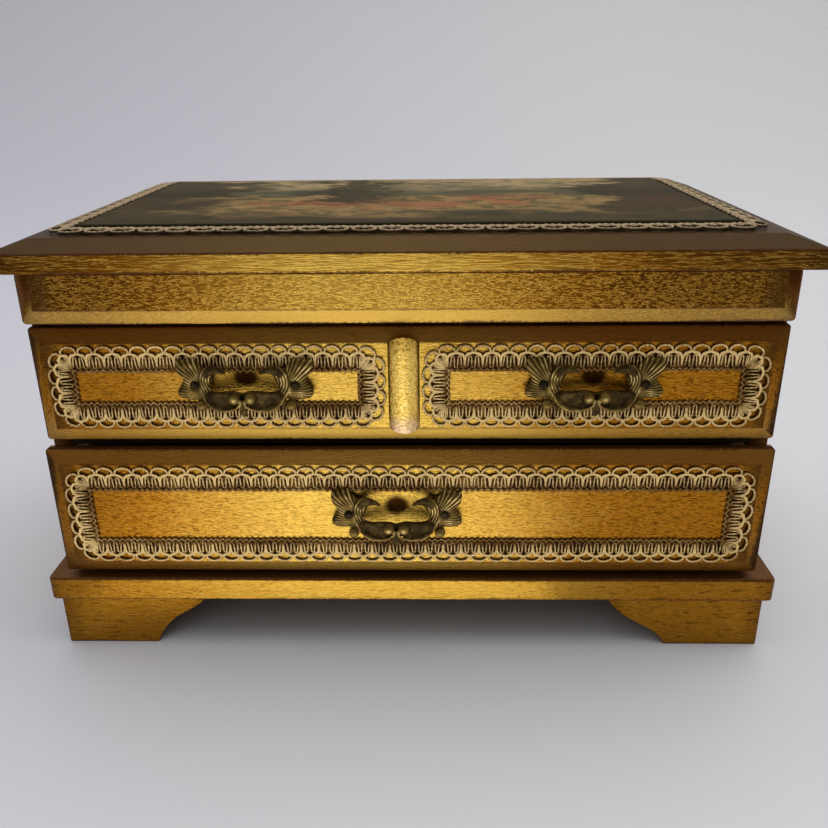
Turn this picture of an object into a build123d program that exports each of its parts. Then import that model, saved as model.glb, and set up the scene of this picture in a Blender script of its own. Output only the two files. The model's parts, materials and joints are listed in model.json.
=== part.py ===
from build123d import *
import os

os.makedirs("parts", exist_ok=True)

# Driving dimensions in millimetres. X runs left to right, -Y is the front, Z is up from the table.

# Case boards
case_width = 250.0
case_depth = 146.5
side_thick = 7.0
back_thick = 7.0
shelf_thick = 4.0

# Heights, from the table up
foot_height = 21.0
base_thick = 9.0
base_gap = 2.0
lower_front_height = 48.6
drawer_gap = 2.0
upper_front_height = 40.4
tray_gap = 1.6
tray_front_height = 16.8
lid_gap = 0.3
lid_edge_thick = 6.4
lid_bevel_rise = 3.5
picture_thick = 2.3

# Fielded fronts: a raised flat field with a bevel that falls back to each edge
front_edge_thick = 3.2
field_raise = 2.2
field_bevel = 5.0
front_corner = 1.2
field_corner = 0.4
close_gap = 0.3
tray_front_proud = 1.9
lower_front_proud = 3.7

# Base, feet and lid outlines
base_overhang = 6.4
base_end_overhang = 7.1
base_corner = 1.5
base_arris = 1.0
foot_inset = 2.7
foot_thick = 8.0
foot_left_top_length = 54.5
foot_right_top_length = 57.2
foot_toe_length = 34.0
foot_left_curve = (43.0, 11.7)
foot_right_curve = (43.9, 8.7)
glue_block_leg = 14.0
glue_block_low = 4.0
lid_overhang = 4.9
lid_end_overhang = 6.9
lid_corner = 1.0
lid_bevel = 8.65
lid_end_bevel = 10.65
lid_border = 11.8
picture_arris = 0.6

# Drawer boxes
drawer_wall = 4.5
drawer_bottom_thick = 3.0
drawer_side_clear = 0.6
drawer_head_clear = 0.8
drawer_slide_clear = 0.3
upper_drawer_back_clear = 4.0
lower_drawer_back_clear = 0.3
runner_thick = 2.0
runner_width = 9.0

# Linings and mirror
lining_thick = 1.2
lining_clear = 0.4
lid_lining_thick = 0.8
lid_lining_clear = 2.0
mirror_width = 186.0
mirror_depth = 92.0
mirror_thick = 2.0
mirror_frame_width = 7.0
mirror_frame_thick = 2.8
mirror_clear = 0.1

# Lace: a flat band with a row of open loops along its outer edge
lace_thick = 1.1
lace_band = 7.0
lace_edge_margin = 0.4
loop_radius = 2.6
loop_hole_radius = 1.4
loop_offset = 0.3
loop_pitch = 6.0
lid_loop_radius = 3.5
lid_loop_hole_radius = 2.2
lid_loop_pitch = 9.0
lid_lace_margin = 0.7

# Half-round bead between the two lace panels
bead_x = -0.6
bead_width = 10.6
bead_height = 3.0
bead_top_lap = 2.6
bead_bottom_lap = 0.9
bead_top_rise = 3.0
bead_bottom_rise = 1.5
bead_lace_gap = 0.5

# Cast pulls, each held by two nails
pull_stand = 6.8
pull_bar_radius = 2.0
pull_leaf_thick = 1.8
pull_scroll_radius = 1.3
pull_scroll_tip_radius = 1.6
pull_ball_radius = 1.9
pull_ball_spacing = 4.8
pull_drop_length = 3.4
pull_drop_radius = 1.7
pull_drop_tip_radius = 0.5
pull_nail_spacing = 33.3
pull_left_x = -53.2
pull_right_x = 62.0
pull_lower_x = -3.6
pull_rise = 1.4
nail_radius = 0.7
nail_head_radius = 1.5
nail_head_rise = 0.9
nail_head_round = 0.7
nail_length = 7.0
nail_clear = 0.05

# Lobes of a pull's leaf: out from its nail, up, half length, half width, tilt in degrees
leaf_tip_lobe = (1.4, 4.2, 7.0, 3.6, -42.0)
leaf_side_lobe = (1.9, -2.0, 5.0, 2.9, 14.0)
leaf_bud_lobe = (-0.8, -6.4, 2.2, 2.1, 0.0)
leaf_stem_lobe = (-2.4, 0.6, 3.4, 6.4, 0.0)

# Bow and scrolls of a pull: in from its nail, out from the field, up from the nails
arm_root_inset = 5.0
arm_root_up = -2.0
arm_knee_inset = 9.6
arm_knee_stand = 4.9
arm_knee_up = -5.4
bow_up = -4.8
ball_up = -2.4
drop_up = -6.4
scroll_root_inset = 2.2
scroll_root_up = 3.2
scroll_knee_inset = 5.2
scroll_knee_stand = 3.0
scroll_knee_up = 6.4
scroll_tip_inset = 9.4
scroll_tip_stand = 4.4
scroll_tip_up = 4.4

# Butt hinges
hinge_spread = 150.0
hinge_length = 24.0
hinge_leaf_width = 5.6
hinge_leaf_thick = 0.8
knuckle_radius = 1.3
knuckle_length = 7.0
knuckle_clear = 0.3
knuckle_end_clear = 0.3
knuckle_channel_clear = 0.5
pin_radius = 0.6
pin_clear = 0.04
screw_spacing = 15.0
screw_radius = 0.8
screw_head_radius = 1.45
screw_length = 6.0
screw_clear = 0.05

# Levels worked out from the heights
base_top = foot_height + base_thick
lower_front_low = base_top + base_gap
lower_front_high = lower_front_low + lower_front_height
upper_front_low = lower_front_high + drawer_gap
upper_front_high = upper_front_low + upper_front_height
tray_front_low = upper_front_high + tray_gap
case_top = tray_front_low + tray_front_height
lid_bottom = case_top + lid_gap
lid_arris = lid_bottom + lid_edge_thick
lid_flat = lid_arris + lid_bevel_rise
dust_board_low = (lower_front_high + upper_front_low - shelf_thick) / 2
dust_board_high = dust_board_low + shelf_thick
tray_floor_low = (upper_front_high + tray_front_low - shelf_thick) / 2
tray_floor_high = tray_floor_low + shelf_thick

# Depths: the origin is the middle of the footprint, between the lower pull and the back of the base
front_line_reach = close_gap + front_edge_thick
pull_projection = pull_stand + pull_bar_radius
foremost_reach = front_line_reach + lower_front_proud + field_raise + lace_thick + pull_projection
case_front = (foremost_reach - case_depth - base_overhang) / 2
case_back = case_front + case_depth
inner_back = case_back - back_thick
front_line = case_front - front_line_reach
upper_back_face = case_front - close_gap
lower_back_face = upper_back_face - lower_front_proud
tray_edge_thick = front_line_reach + tray_front_proud
upper_field = front_line - field_raise
lower_field = upper_field - lower_front_proud
upper_pull_seat = upper_field - lace_thick
lower_pull_seat = lower_field - lace_thick
base_front = front_line - base_overhang
base_back = case_back + base_overhang
lid_front = front_line - lid_overhang
lid_back = case_back + lid_overhang

# Widths
base_width = case_width + 2 * base_end_overhang
lid_width = case_width + 2 * lid_end_overhang
lid_depth = lid_back - lid_front
lid_mid = (lid_front + lid_back) / 2
picture_width = lid_width - 2 * (lid_end_bevel + lid_border)
picture_depth = lid_depth - 2 * (lid_bevel + lid_border)
inner_half = case_width / 2 - side_thick
box_half = inner_half - drawer_side_clear
field_half = case_width / 2 - field_bevel

# Hinge axis and its stations
hinge_y = case_back + knuckle_radius + knuckle_clear
hinge_z = case_top + lid_gap / 2
hinge_stations = {"left": -hinge_spread / 2, "right": hinge_spread / 2}
leaf_front = case_back - hinge_leaf_width
leaf_mid = (leaf_front + case_back) / 2
screw_head_height = screw_head_radius - screw_radius


def front_plane(y):
    """Give the plane that faces the front at depth y, with X across and Z up."""
    return Plane.XZ.offset(-y)


def finish(piece, name):
    """Label a finished piece and write it as its own file."""
    piece.part.label = name
    export_step(piece.part, f"parts/{name}.step")


def board(name, x_span, y_span, z_span):
    """Make a plain board that fills the three spans."""
    with BuildPart() as piece:
        with BuildSketch(Plane.XY.offset(z_span[0])):
            with Locations(((x_span[0] + x_span[1]) / 2, (y_span[0] + y_span[1]) / 2)):
                Rectangle(x_span[1] - x_span[0], y_span[1] - y_span[0])
        extrude(amount=z_span[1] - z_span[0])
    finish(piece, name)


def nail_places(pull_x, pull_z, pull_seat):
    """Give the two nail seats on the leaves of a pull, each turned to point out of the front."""
    seat = pull_seat - pull_leaf_thick
    return [
        Location((pull_x + side * pull_nail_spacing / 2, seat, pull_z), (90, 0, 0))
        for side in (-1, 1)
    ]


def nail_shanks(places, grow, mode):
    """Add or cut nail shanks that run from under the head into the wood."""
    with Locations(*places):
        Cylinder(
            nail_radius + grow,
            nail_length + grow,
            align=(Align.CENTER, Align.CENTER, Align.MAX),
            mode=mode,
        )


def screw_bodies(places, grow, mode):
    """Add or cut countersunk screws whose heads lie flush at each place."""
    with Locations(*places):
        Cylinder(
            screw_radius + grow,
            screw_length + grow,
            align=(Align.CENTER, Align.CENTER, Align.MAX),
            mode=mode,
        )
        Cone(
            screw_radius + grow,
            screw_head_radius + grow,
            screw_head_height,
            align=(Align.CENTER, Align.CENTER, Align.MAX),
            mode=mode,
        )


def case_screw_places(station):
    """Give the two seats, facing up, of the screws in one case leaf."""
    return [
        Location((station + side * screw_spacing / 2, leaf_mid, case_top)) for side in (-1, 1)
    ]


def lid_screw_places(station):
    """Give the two seats, facing down, of the screws in one lid leaf."""
    return [
        Location((station + side * screw_spacing / 2, leaf_mid, lid_bottom), (180, 0, 0))
        for side in (-1, 1)
    ]


def fielded_front(back_face, edge_thick, z_low, z_high, nails, top_bevel=field_bevel):
    """Make a front board with a raised field, drilled for the nails of its pulls."""
    height = z_high - z_low
    field_low = z_low + field_bevel
    field_high = z_high - top_bevel
    middle = (0, (z_low + z_high) / 2)
    edge_face = back_face - edge_thick
    with BuildPart() as piece:
        with BuildSketch(front_plane(back_face)):
            with Locations(middle):
                RectangleRounded(case_width, height, front_corner)
        extrude(amount=edge_thick)
        with BuildSketch(front_plane(edge_face)):
            with Locations(middle):
                RectangleRounded(case_width, height, front_corner)
        with BuildSketch(front_plane(edge_face - field_raise)):
            with Locations((0, (field_low + field_high) / 2)):
                RectangleRounded(2 * field_half, field_high - field_low, field_corner)
        loft(ruled=True)
        if nails:
            nail_shanks(nails, nail_clear, Mode.SUBTRACT)
    return piece


def drawer_box(prefix, front_back, rear, z_low, z_high):
    """Make the sides, back, bottom and lining of a drawer behind its front."""
    wall_inner = box_half - drawer_wall
    rear_inner = rear - drawer_wall
    floor = z_low + drawer_bottom_thick
    board(f"{prefix}_side_left", (-box_half, -wall_inner), (front_back, rear), (z_low, z_high))
    board(f"{prefix}_side_right", (wall_inner, box_half), (front_back, rear), (z_low, z_high))
    board(f"{prefix}_back", (-wall_inner, wall_inner), (rear_inner, rear), (z_low, z_high))
    board(f"{prefix}_bottom", (-wall_inner, wall_inner), (front_back, rear_inner), (z_low, floor))
    lining_half = wall_inner - lining_clear
    board(
        f"{prefix}_lining",
        (-lining_half, lining_half),
        (front_back + lining_clear, rear_inner - lining_clear),
        (floor, floor + lining_thick),
    )


def lace_frame(name, plane, middle, width, height, band, loop, hole, pitch):
    """Make a flat lace frame: a band round a bare middle, with open loops along its outer edge."""
    reach = loop + loop_offset
    band_width = width - 2 * reach
    band_height = height - 2 * reach
    loop_path = RectangleRounded(
        band_width + 2 * loop_offset, band_height + 2 * loop_offset, loop, mode=Mode.PRIVATE
    ).wire()
    count = round(loop_path.length / pitch)
    loops = [Vector(*middle) + loop_path.position_at(step / count) for step in range(count)]
    with BuildPart() as piece:
        with BuildSketch(plane):
            with Locations(middle):
                RectangleRounded(band_width, band_height, loop)
            with Locations(*loops):
                Circle(loop)
                Circle(hole, mode=Mode.SUBTRACT)
            with Locations(middle):
                Rectangle(band_width - 2 * band, band_height - 2 * band, mode=Mode.SUBTRACT)
        extrude(amount=lace_thick)
    finish(piece, name)


def pull(name, pull_x, pull_z, back):
    """Make a cast pull: two leaf plates with a scroll each, joined by a bow that stands off its back face."""
    root = back - pull_leaf_thick / 2
    nail_out = pull_nail_spacing / 2
    bow_middle = Vector(pull_x, back - pull_stand, pull_z + bow_up)
    with BuildPart() as piece:
        for side in (-1, 1):
            nail_x = pull_x + side * nail_out
            with BuildSketch(front_plane(back)):
                for out, up, long, short, tilt in (
                    leaf_tip_lobe,
                    leaf_side_lobe,
                    leaf_bud_lobe,
                    leaf_stem_lobe,
                ):
                    with Locations(Location((nail_x + side * out, pull_z + up), -side * tilt)):
                        Ellipse(long, short)
            extrude(amount=pull_leaf_thick)
            with BuildLine() as arm:
                ThreePointArc(
                    (nail_x - side * arm_root_inset, root, pull_z + arm_root_up),
                    (nail_x - side * arm_knee_inset, back - arm_knee_stand, pull_z + arm_knee_up),
                    bow_middle,
                )
            with BuildSketch(Plane(arm.line @ 0, z_dir=arm.line % 0)):
                Circle(pull_bar_radius)
            sweep(path=arm.line)
            with BuildLine() as scroll:
                ThreePointArc(
                    (nail_x - side * scroll_root_inset, root, pull_z + scroll_root_up),
                    (nail_x - side * scroll_knee_inset, back - scroll_knee_stand, pull_z + scroll_knee_up),
                    (nail_x - side * scroll_tip_inset, back - scroll_tip_stand, pull_z + scroll_tip_up),
                )
            with BuildSketch(Plane(scroll.line @ 0, z_dir=scroll.line % 0)):
                Circle(pull_scroll_radius)
            sweep(path=scroll.line)
            with Locations(scroll.line @ 1):
                Sphere(pull_scroll_tip_radius)
            with Locations((pull_x + side * pull_ball_spacing / 2, bow_middle.Y, pull_z + ball_up)):
                Sphere(pull_ball_radius)
        with Locations(bow_middle):
            Sphere(pull_bar_radius)
        with Locations((pull_x, bow_middle.Y, pull_z + drop_up)):
            Cone(
                pull_drop_radius,
                pull_drop_tip_radius,
                pull_drop_length,
                rotation=(180, 0, 0),
            )
        split(bisect_by=front_plane(back), keep=Keep.TOP)
        nail_shanks(nail_places(pull_x, pull_z, back), nail_clear, Mode.SUBTRACT)
    finish(piece, name)


def nails(name, places):
    """Make a set of round-headed nails at the given seats."""
    with BuildPart() as piece:
        nail_shanks(places, 0, Mode.ADD)
        with Locations(*places):
            Cylinder(
                nail_head_radius,
                nail_head_rise,
                align=(Align.CENTER, Align.CENTER, Align.MIN),
            )
        fillet(piece.edges().group_by(Axis.Y)[0], nail_head_round)
    finish(piece, name)


def hinge_leaf(name, station, plate_low, spans, screw_places):
    """Make a hinge leaf: a drilled plate with a tongue and a bored knuckle on each span."""
    tongue = hinge_y - case_back
    with BuildPart() as piece:
        with BuildSketch(Plane.XY.offset(plate_low)):
            with Locations((station, leaf_mid)):
                Rectangle(hinge_length, hinge_leaf_width)
            for start, end in spans:
                with Locations((station + (start + end) / 2, case_back + tongue / 2)):
                    Rectangle(end - start, tongue)
        extrude(amount=hinge_leaf_thick)
        for start, end in spans:
            with BuildSketch(Plane.YZ.offset(station + start)):
                with Locations((hinge_y, hinge_z)):
                    Circle(knuckle_radius)
            extrude(amount=end - start)
        with BuildSketch(Plane.YZ.offset(station - hinge_length / 2)):
            with Locations((hinge_y, hinge_z)):
                Circle(pin_radius + pin_clear)
        extrude(amount=hinge_length, mode=Mode.SUBTRACT)
        screw_bodies(screw_places, screw_clear, Mode.SUBTRACT)
    finish(piece, name)


# Base board: a slab with softened upper edges
with BuildPart() as base_board:
    with BuildSketch(Plane.XY.offset(foot_height)):
        with Locations((0, (base_front + base_back) / 2)):
            RectangleRounded(base_width, base_back - base_front, base_corner)
    extrude(amount=base_thick)
    fillet(base_board.faces().sort_by(Axis.Z)[-1].edges(), base_arris)
finish(base_board, "base_board")

# Bracket feet: an L of two brackets with an ogee inner end, one at each corner of the base
foot_front = base_front + foot_inset
foot_left = -base_width / 2 + foot_inset


def foot_outline(top_length, curve):
    """Draw one bracket in its own plane, from the outer corner inward along x and up along y."""
    tip = (top_length, foot_height)
    toe = (foot_toe_length, 0)
    steep = (foot_toe_length - curve[0], -foot_height)
    with BuildSketch(mode=Mode.PRIVATE) as outline:
        with BuildLine():
            Polyline(toe, (0, 0), (0, foot_height), tip)
            Spline(tip, curve, toe, tangents=(steep, steep))
        make_face()
    return outline.sketch


def foot(top_length, curve):
    """Make a foot at the front left corner: a bracket along the front and one along the side."""
    outline = foot_outline(top_length, curve)
    with BuildPart() as piece:
        with BuildSketch(Plane((foot_left, foot_front, 0), x_dir=(1, 0, 0), z_dir=(0, -1, 0))):
            add(outline)
        extrude(amount=-foot_thick)
        with BuildSketch(Plane((foot_left, foot_front, 0), x_dir=(0, 1, 0), z_dir=(1, 0, 0))):
            add(outline)
        extrude(amount=foot_thick)
    return piece


foot_front_left = foot(foot_left_top_length, foot_left_curve)
finish(foot_front_left, "foot_front_left")

mid_depth = Plane.XZ.offset(-(base_front + base_back) / 2)
with BuildPart() as foot_front_right:
    mirror(foot(foot_right_top_length, foot_right_curve).part, about=Plane.YZ)
finish(foot_front_right, "foot_front_right")
with BuildPart() as foot_back_left:
    mirror(foot_front_left.part, about=mid_depth)
finish(foot_back_left, "foot_back_left")
with BuildPart() as foot_back_right:
    mirror(foot_front_right.part, about=mid_depth)
finish(foot_back_right, "foot_back_right")

# Glue blocks: a triangular block in the inner corner of each foot, up against the base
block_x = foot_left + foot_thick
block_y = foot_front + foot_thick
with BuildPart() as foot_glue_blocks:
    with BuildSketch(Plane.XY.offset(glue_block_low)):
        with BuildLine():
            Polyline(
                (block_x, block_y),
                (block_x + glue_block_leg, block_y),
                (block_x, block_y + glue_block_leg),
                close=True,
            )
        make_face()
        mirror(about=Plane.YZ)
        mirror(about=mid_depth)
    extrude(amount=foot_height - glue_block_low)
finish(foot_glue_blocks, "foot_glue_blocks")

# Case: sides, shelves and runners
board("side_left", (-case_width / 2, -inner_half), (case_front, case_back), (base_top, case_top))
board("side_right", (inner_half, case_width / 2), (case_front, case_back), (base_top, case_top))
board("dust_board", (-inner_half, inner_half), (case_front, inner_back), (dust_board_low, dust_board_high))
board("tray_floor", (-inner_half, inner_half), (case_front, inner_back), (tray_floor_low, tray_floor_high))
board(
    "tray_lining",
    (-inner_half + lining_clear, inner_half - lining_clear),
    (case_front + lining_clear, inner_back - lining_clear),
    (tray_floor_high, tray_floor_high + lining_thick),
)
with BuildPart() as drawer_runners:
    with BuildSketch(Plane.XY.offset(base_top)):
        with Locations((inner_half - runner_width / 2, (case_front + inner_back) / 2)):
            Rectangle(runner_width, inner_back - case_front)
        mirror(about=Plane.YZ)
    extrude(amount=runner_thick)
finish(drawer_runners, "drawer_runners")

# Back panel, let in at the top for the case leaves of the hinges
with BuildPart() as back_panel:
    with BuildSketch(Plane.XY.offset(base_top)):
        with Locations((0, case_back - back_thick / 2)):
            Rectangle(2 * inner_half, back_thick)
    extrude(amount=case_top - base_top)
    for station in hinge_stations.values():
        with BuildSketch(Plane.XY.offset(case_top)):
            with Locations((station, leaf_mid)):
                Rectangle(hinge_length, hinge_leaf_width)
        extrude(amount=-hinge_leaf_thick, mode=Mode.SUBTRACT)
        screw_bodies(case_screw_places(station), screw_clear, Mode.SUBTRACT)
finish(back_panel, "back_panel")

# Fixed front of the top tray: its field runs up to the lid, with no bevel along the top
tray_front = fielded_front(case_front, tray_edge_thick, tray_front_low, case_top, [], 0)
finish(tray_front, "tray_front")

# Upper drawer: one front with two lace panels, parted by a half-round bead
upper_pull_z = (upper_front_low + upper_front_high) / 2 + pull_rise
upper_nails = nail_places(pull_left_x, upper_pull_z, upper_pull_seat)
upper_nails += nail_places(pull_right_x, upper_pull_z, upper_pull_seat)
upper_front = fielded_front(
    upper_back_face, front_edge_thick, upper_front_low, upper_front_high, upper_nails
)
finish(upper_front, "upper_drawer_front")
drawer_box(
    "upper_drawer",
    upper_back_face,
    inner_back - upper_drawer_back_clear,
    dust_board_high + drawer_slide_clear,
    tray_floor_low - drawer_head_clear,
)

bead_low = upper_front_low + field_bevel - bead_bottom_lap
bead_high = upper_front_high - field_bevel + bead_top_lap
bead_left = bead_x - bead_width / 2
bead_right = bead_x + bead_width / 2
with BuildPart() as half_round_bead:
    with BuildSketch(Plane.XY.offset(bead_low)):
        with BuildLine():
            Polyline(
                (bead_left, upper_field),
                (bead_left, front_line),
                (bead_right, front_line),
                (bead_right, upper_field),
            )
            ThreePointArc(
                (bead_right, upper_field),
                (bead_x, upper_field - bead_height),
                (bead_left, upper_field),
            )
        make_face()
    extrude(amount=bead_high - bead_low)
    with BuildSketch(front_plane(front_line)):
        with BuildLine():
            Line((bead_left, bead_low + bead_bottom_rise), (bead_left, bead_high - bead_top_rise))
            ThreePointArc(
                (bead_left, bead_high - bead_top_rise),
                (bead_x, bead_high),
                (bead_right, bead_high - bead_top_rise),
            )
            Line((bead_right, bead_high - bead_top_rise), (bead_right, bead_low + bead_bottom_rise))
            ThreePointArc(
                (bead_right, bead_low + bead_bottom_rise),
                (bead_x, bead_low),
                (bead_left, bead_low + bead_bottom_rise),
            )
        make_face()
    extrude(amount=field_raise + bead_height, mode=Mode.INTERSECT)
    add(upper_front.part, mode=Mode.SUBTRACT)
finish(half_round_bead, "half_round_bead")

lace_outer = field_half - lace_edge_margin
upper_lace_height = upper_front_height - 2 * (field_bevel + lace_edge_margin)
upper_lace_z = (upper_front_low + upper_front_high) / 2
for name, lace_left, lace_right in (
    ("lace_upper_left", -lace_outer, bead_left - bead_lace_gap),
    ("lace_upper_right", bead_right + bead_lace_gap, lace_outer),
):
    lace_frame(
        name,
        front_plane(upper_field),
        ((lace_left + lace_right) / 2, upper_lace_z),
        lace_right - lace_left,
        upper_lace_height,
        lace_band,
        loop_radius,
        loop_hole_radius,
        loop_pitch,
    )
pull("pull_upper_left", pull_left_x, upper_pull_z, upper_pull_seat)
pull("pull_upper_right", pull_right_x, upper_pull_z, upper_pull_seat)
nails("pull_nails_upper", upper_nails)

# Lower drawer: it stops on the case back, so its front stands a little proud
lower_pull_z = (lower_front_low + lower_front_high) / 2 + pull_rise
lower_nails = nail_places(pull_lower_x, lower_pull_z, lower_pull_seat)
lower_front = fielded_front(
    lower_back_face, front_edge_thick, lower_front_low, lower_front_high, lower_nails
)
finish(lower_front, "lower_drawer_front")
drawer_box(
    "lower_drawer",
    lower_back_face,
    inner_back - lower_drawer_back_clear,
    base_top + runner_thick + drawer_slide_clear,
    dust_board_low - drawer_head_clear,
)
lace_frame(
    "lace_lower",
    front_plane(lower_field),
    (0, (lower_front_low + lower_front_high) / 2),
    2 * lace_outer,
    lower_front_height - 2 * (field_bevel + lace_edge_margin),
    lace_band,
    loop_radius,
    loop_hole_radius,
    loop_pitch,
)
pull("pull_lower", pull_lower_x, lower_pull_z, lower_pull_seat)
nails("pull_nails_lower", lower_nails)

# Lid board: a bevelled slab, let in underneath for the lid leaves and hollowed round the knuckles
with BuildPart() as lid_board:
    with BuildSketch(Plane.XY.offset(lid_bottom)):
        with Locations((0, lid_mid)):
            RectangleRounded(lid_width, lid_depth, lid_corner)
    extrude(amount=lid_edge_thick)
    with BuildSketch(Plane.XY.offset(lid_arris)):
        with Locations((0, lid_mid)):
            RectangleRounded(lid_width, lid_depth, lid_corner)
    with BuildSketch(Plane.XY.offset(lid_flat)):
        with Locations((0, lid_mid)):
            RectangleRounded(lid_width - 2 * lid_end_bevel, lid_depth - 2 * lid_bevel, field_corner)
    loft(ruled=True)
    for station in hinge_stations.values():
        with BuildSketch(Plane.XY.offset(lid_bottom)):
            with Locations((station, (leaf_front + hinge_y) / 2)):
                Rectangle(hinge_length, hinge_y - leaf_front)
        extrude(amount=hinge_leaf_thick, mode=Mode.SUBTRACT)
        with BuildSketch(Plane.YZ.offset(station - hinge_length / 2 - knuckle_channel_clear)):
            with Locations((hinge_y, hinge_z)):
                Circle(knuckle_radius + knuckle_channel_clear)
        extrude(amount=hinge_length + 2 * knuckle_channel_clear, mode=Mode.SUBTRACT)
        screw_bodies(lid_screw_places(station), screw_clear, Mode.SUBTRACT)
finish(lid_board, "lid_board")

# Picture panel and the lace that runs round it
with BuildPart() as picture_panel:
    with BuildSketch(Plane.XY.offset(lid_flat)):
        with Locations((0, lid_mid)):
            Rectangle(picture_width, picture_depth)
    extrude(amount=picture_thick)
    fillet(picture_panel.faces().sort_by(Axis.Z)[-1].edges(), picture_arris)
finish(picture_panel, "picture_panel")
lid_lace_reach = lid_loop_radius + loop_offset
lace_frame(
    "lace_lid",
    Plane.XY.offset(lid_flat),
    (0, lid_mid),
    lid_width - 2 * (lid_end_bevel + lid_lace_margin),
    lid_depth - 2 * (lid_bevel + lid_lace_margin),
    lid_border - 2 * lid_lace_margin - lid_lace_reach,
    lid_loop_radius,
    lid_loop_hole_radius,
    lid_loop_pitch,
)

# Lid lining with a framed mirror, inside the tray when the lid is shut
tray_mid = (case_front + inner_back) / 2
lid_lining_low = lid_bottom - lid_lining_thick
lid_lining_half = inner_half - lid_lining_clear
board(
    "lid_lining",
    (-lid_lining_half, lid_lining_half),
    (case_front + lid_lining_clear, inner_back - lid_lining_clear),
    (lid_lining_low, lid_bottom),
)
board(
    "lid_mirror",
    (-mirror_width / 2, mirror_width / 2),
    (tray_mid - mirror_depth / 2, tray_mid + mirror_depth / 2),
    (lid_lining_low - mirror_thick, lid_lining_low),
)
with BuildPart() as mirror_frame:
    with BuildSketch(Plane.XY.offset(lid_lining_low)):
        with Locations((0, tray_mid)):
            Rectangle(mirror_width + 2 * mirror_frame_width, mirror_depth + 2 * mirror_frame_width)
            Rectangle(
                mirror_width + 2 * mirror_clear, mirror_depth + 2 * mirror_clear, mode=Mode.SUBTRACT
            )
    extrude(amount=-mirror_frame_thick)
finish(mirror_frame, "mirror_frame")

# Hinges: the case leaf holds the two outer knuckles and the lid leaf the middle one
outer_end = hinge_length / 2
inner_end = outer_end - knuckle_length
case_spans = ((-outer_end, -inner_end), (inner_end, outer_end))
lid_spans = ((-inner_end + knuckle_end_clear, inner_end - knuckle_end_clear),)
case_screw_seats = []
lid_screw_seats = []
for side, station in hinge_stations.items():
    case_seats = case_screw_places(station)
    lid_seats = lid_screw_places(station)
    hinge_leaf(f"hinge_{side}_case_leaf", station, case_top - hinge_leaf_thick, case_spans, case_seats)
    hinge_leaf(f"hinge_{side}_lid_leaf", station, lid_bottom, lid_spans, lid_seats)
    with BuildPart() as hinge_pin:
        with BuildSketch(Plane.YZ.offset(station - outer_end)):
            with Locations((hinge_y, hinge_z)):
                Circle(pin_radius)
        extrude(amount=hinge_length)
    finish(hinge_pin, f"hinge_{side}_pin")
    case_screw_seats += case_seats
    lid_screw_seats += lid_seats
with BuildPart() as hinge_screws_case:
    screw_bodies(case_screw_seats, 0, Mode.ADD)
finish(hinge_screws_case, "hinge_screws_case")
with BuildPart() as hinge_screws_lid:
    screw_bodies(lid_screw_seats, 0, Mode.ADD)
finish(hinge_screws_lid, "hinge_screws_lid")
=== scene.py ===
"""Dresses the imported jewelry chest.

Gilded boards, cord braid, leaf pulls, a painted lid panel and velvet linings take the places of plain solids.
Lengths are in millimetres until a mesh is finished.
"""

import json
import logging
import math
import random
from dataclasses import dataclass, field
from enum import Enum
from typing import Iterable, Mapping, Sequence

import bmesh
import bpy
from mathutils import Matrix, Vector, noise

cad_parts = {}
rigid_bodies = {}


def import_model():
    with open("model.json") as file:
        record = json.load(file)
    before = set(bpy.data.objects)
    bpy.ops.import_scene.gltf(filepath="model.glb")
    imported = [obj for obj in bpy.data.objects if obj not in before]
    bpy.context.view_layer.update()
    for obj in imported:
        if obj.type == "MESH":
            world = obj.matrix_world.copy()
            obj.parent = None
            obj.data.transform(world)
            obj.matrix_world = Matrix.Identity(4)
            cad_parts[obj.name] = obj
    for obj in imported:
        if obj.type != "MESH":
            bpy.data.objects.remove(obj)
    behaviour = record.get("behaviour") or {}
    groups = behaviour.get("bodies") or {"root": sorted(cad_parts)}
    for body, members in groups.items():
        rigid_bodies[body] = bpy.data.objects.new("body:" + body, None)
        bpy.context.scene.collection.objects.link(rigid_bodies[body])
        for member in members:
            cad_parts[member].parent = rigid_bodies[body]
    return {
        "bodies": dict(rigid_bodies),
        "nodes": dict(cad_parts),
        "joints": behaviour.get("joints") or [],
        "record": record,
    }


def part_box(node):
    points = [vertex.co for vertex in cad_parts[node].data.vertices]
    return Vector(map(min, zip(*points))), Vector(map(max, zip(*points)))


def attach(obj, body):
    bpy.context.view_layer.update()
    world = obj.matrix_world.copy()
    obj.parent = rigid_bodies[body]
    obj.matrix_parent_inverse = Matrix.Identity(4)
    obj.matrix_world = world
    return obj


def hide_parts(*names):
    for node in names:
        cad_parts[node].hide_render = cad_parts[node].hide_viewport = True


log = logging.getLogger("jewelry_chest")

# A millimetre in metres.
MM = 0.001
# How far the field of a front stands out, and how wide the bevel round it is.
FIELD_RAISE = 2.2
FIELD_BEVEL = 5.0
# How close a vertex lies to a level that it belongs to.
NEAR = 0.01
# The colour sockets of a Mix node, whose names the other kinds of value share.
MIX_FACTOR, MIX_FIRST, MIX_SECOND, MIX_RESULT = 0, 6, 7, 2

Colour = tuple[float, float, float]
Scale = tuple[float, float, float]
Span = tuple[float, float]
CordPoints = tuple[tuple[float, float, float], ...]
Station = tuple[float, float, float, float]
Socket = bpy.types.NodeSocket


class Axis(Enum):
    """An axis of the chest: across, deep or up."""

    X = 0
    Y = 1
    Z = 2

    def stretch(self, along: float, across: float) -> Scale:
        """Gives pattern scales with one value along this axis and another across it.

        Args:
            along: The scale along the axis.
            across: The scale on the other two.

        Returns:
            The three scales.
        """
        scales = [across] * 3
        scales[self.value] = along
        return tuple(scales)


class Body(Enum):
    """The moving bodies of the chest."""

    CARCASS = "carcass"
    UPPER = "upper_drawer"
    LOWER = "lower_drawer"
    LID = "lid"


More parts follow.
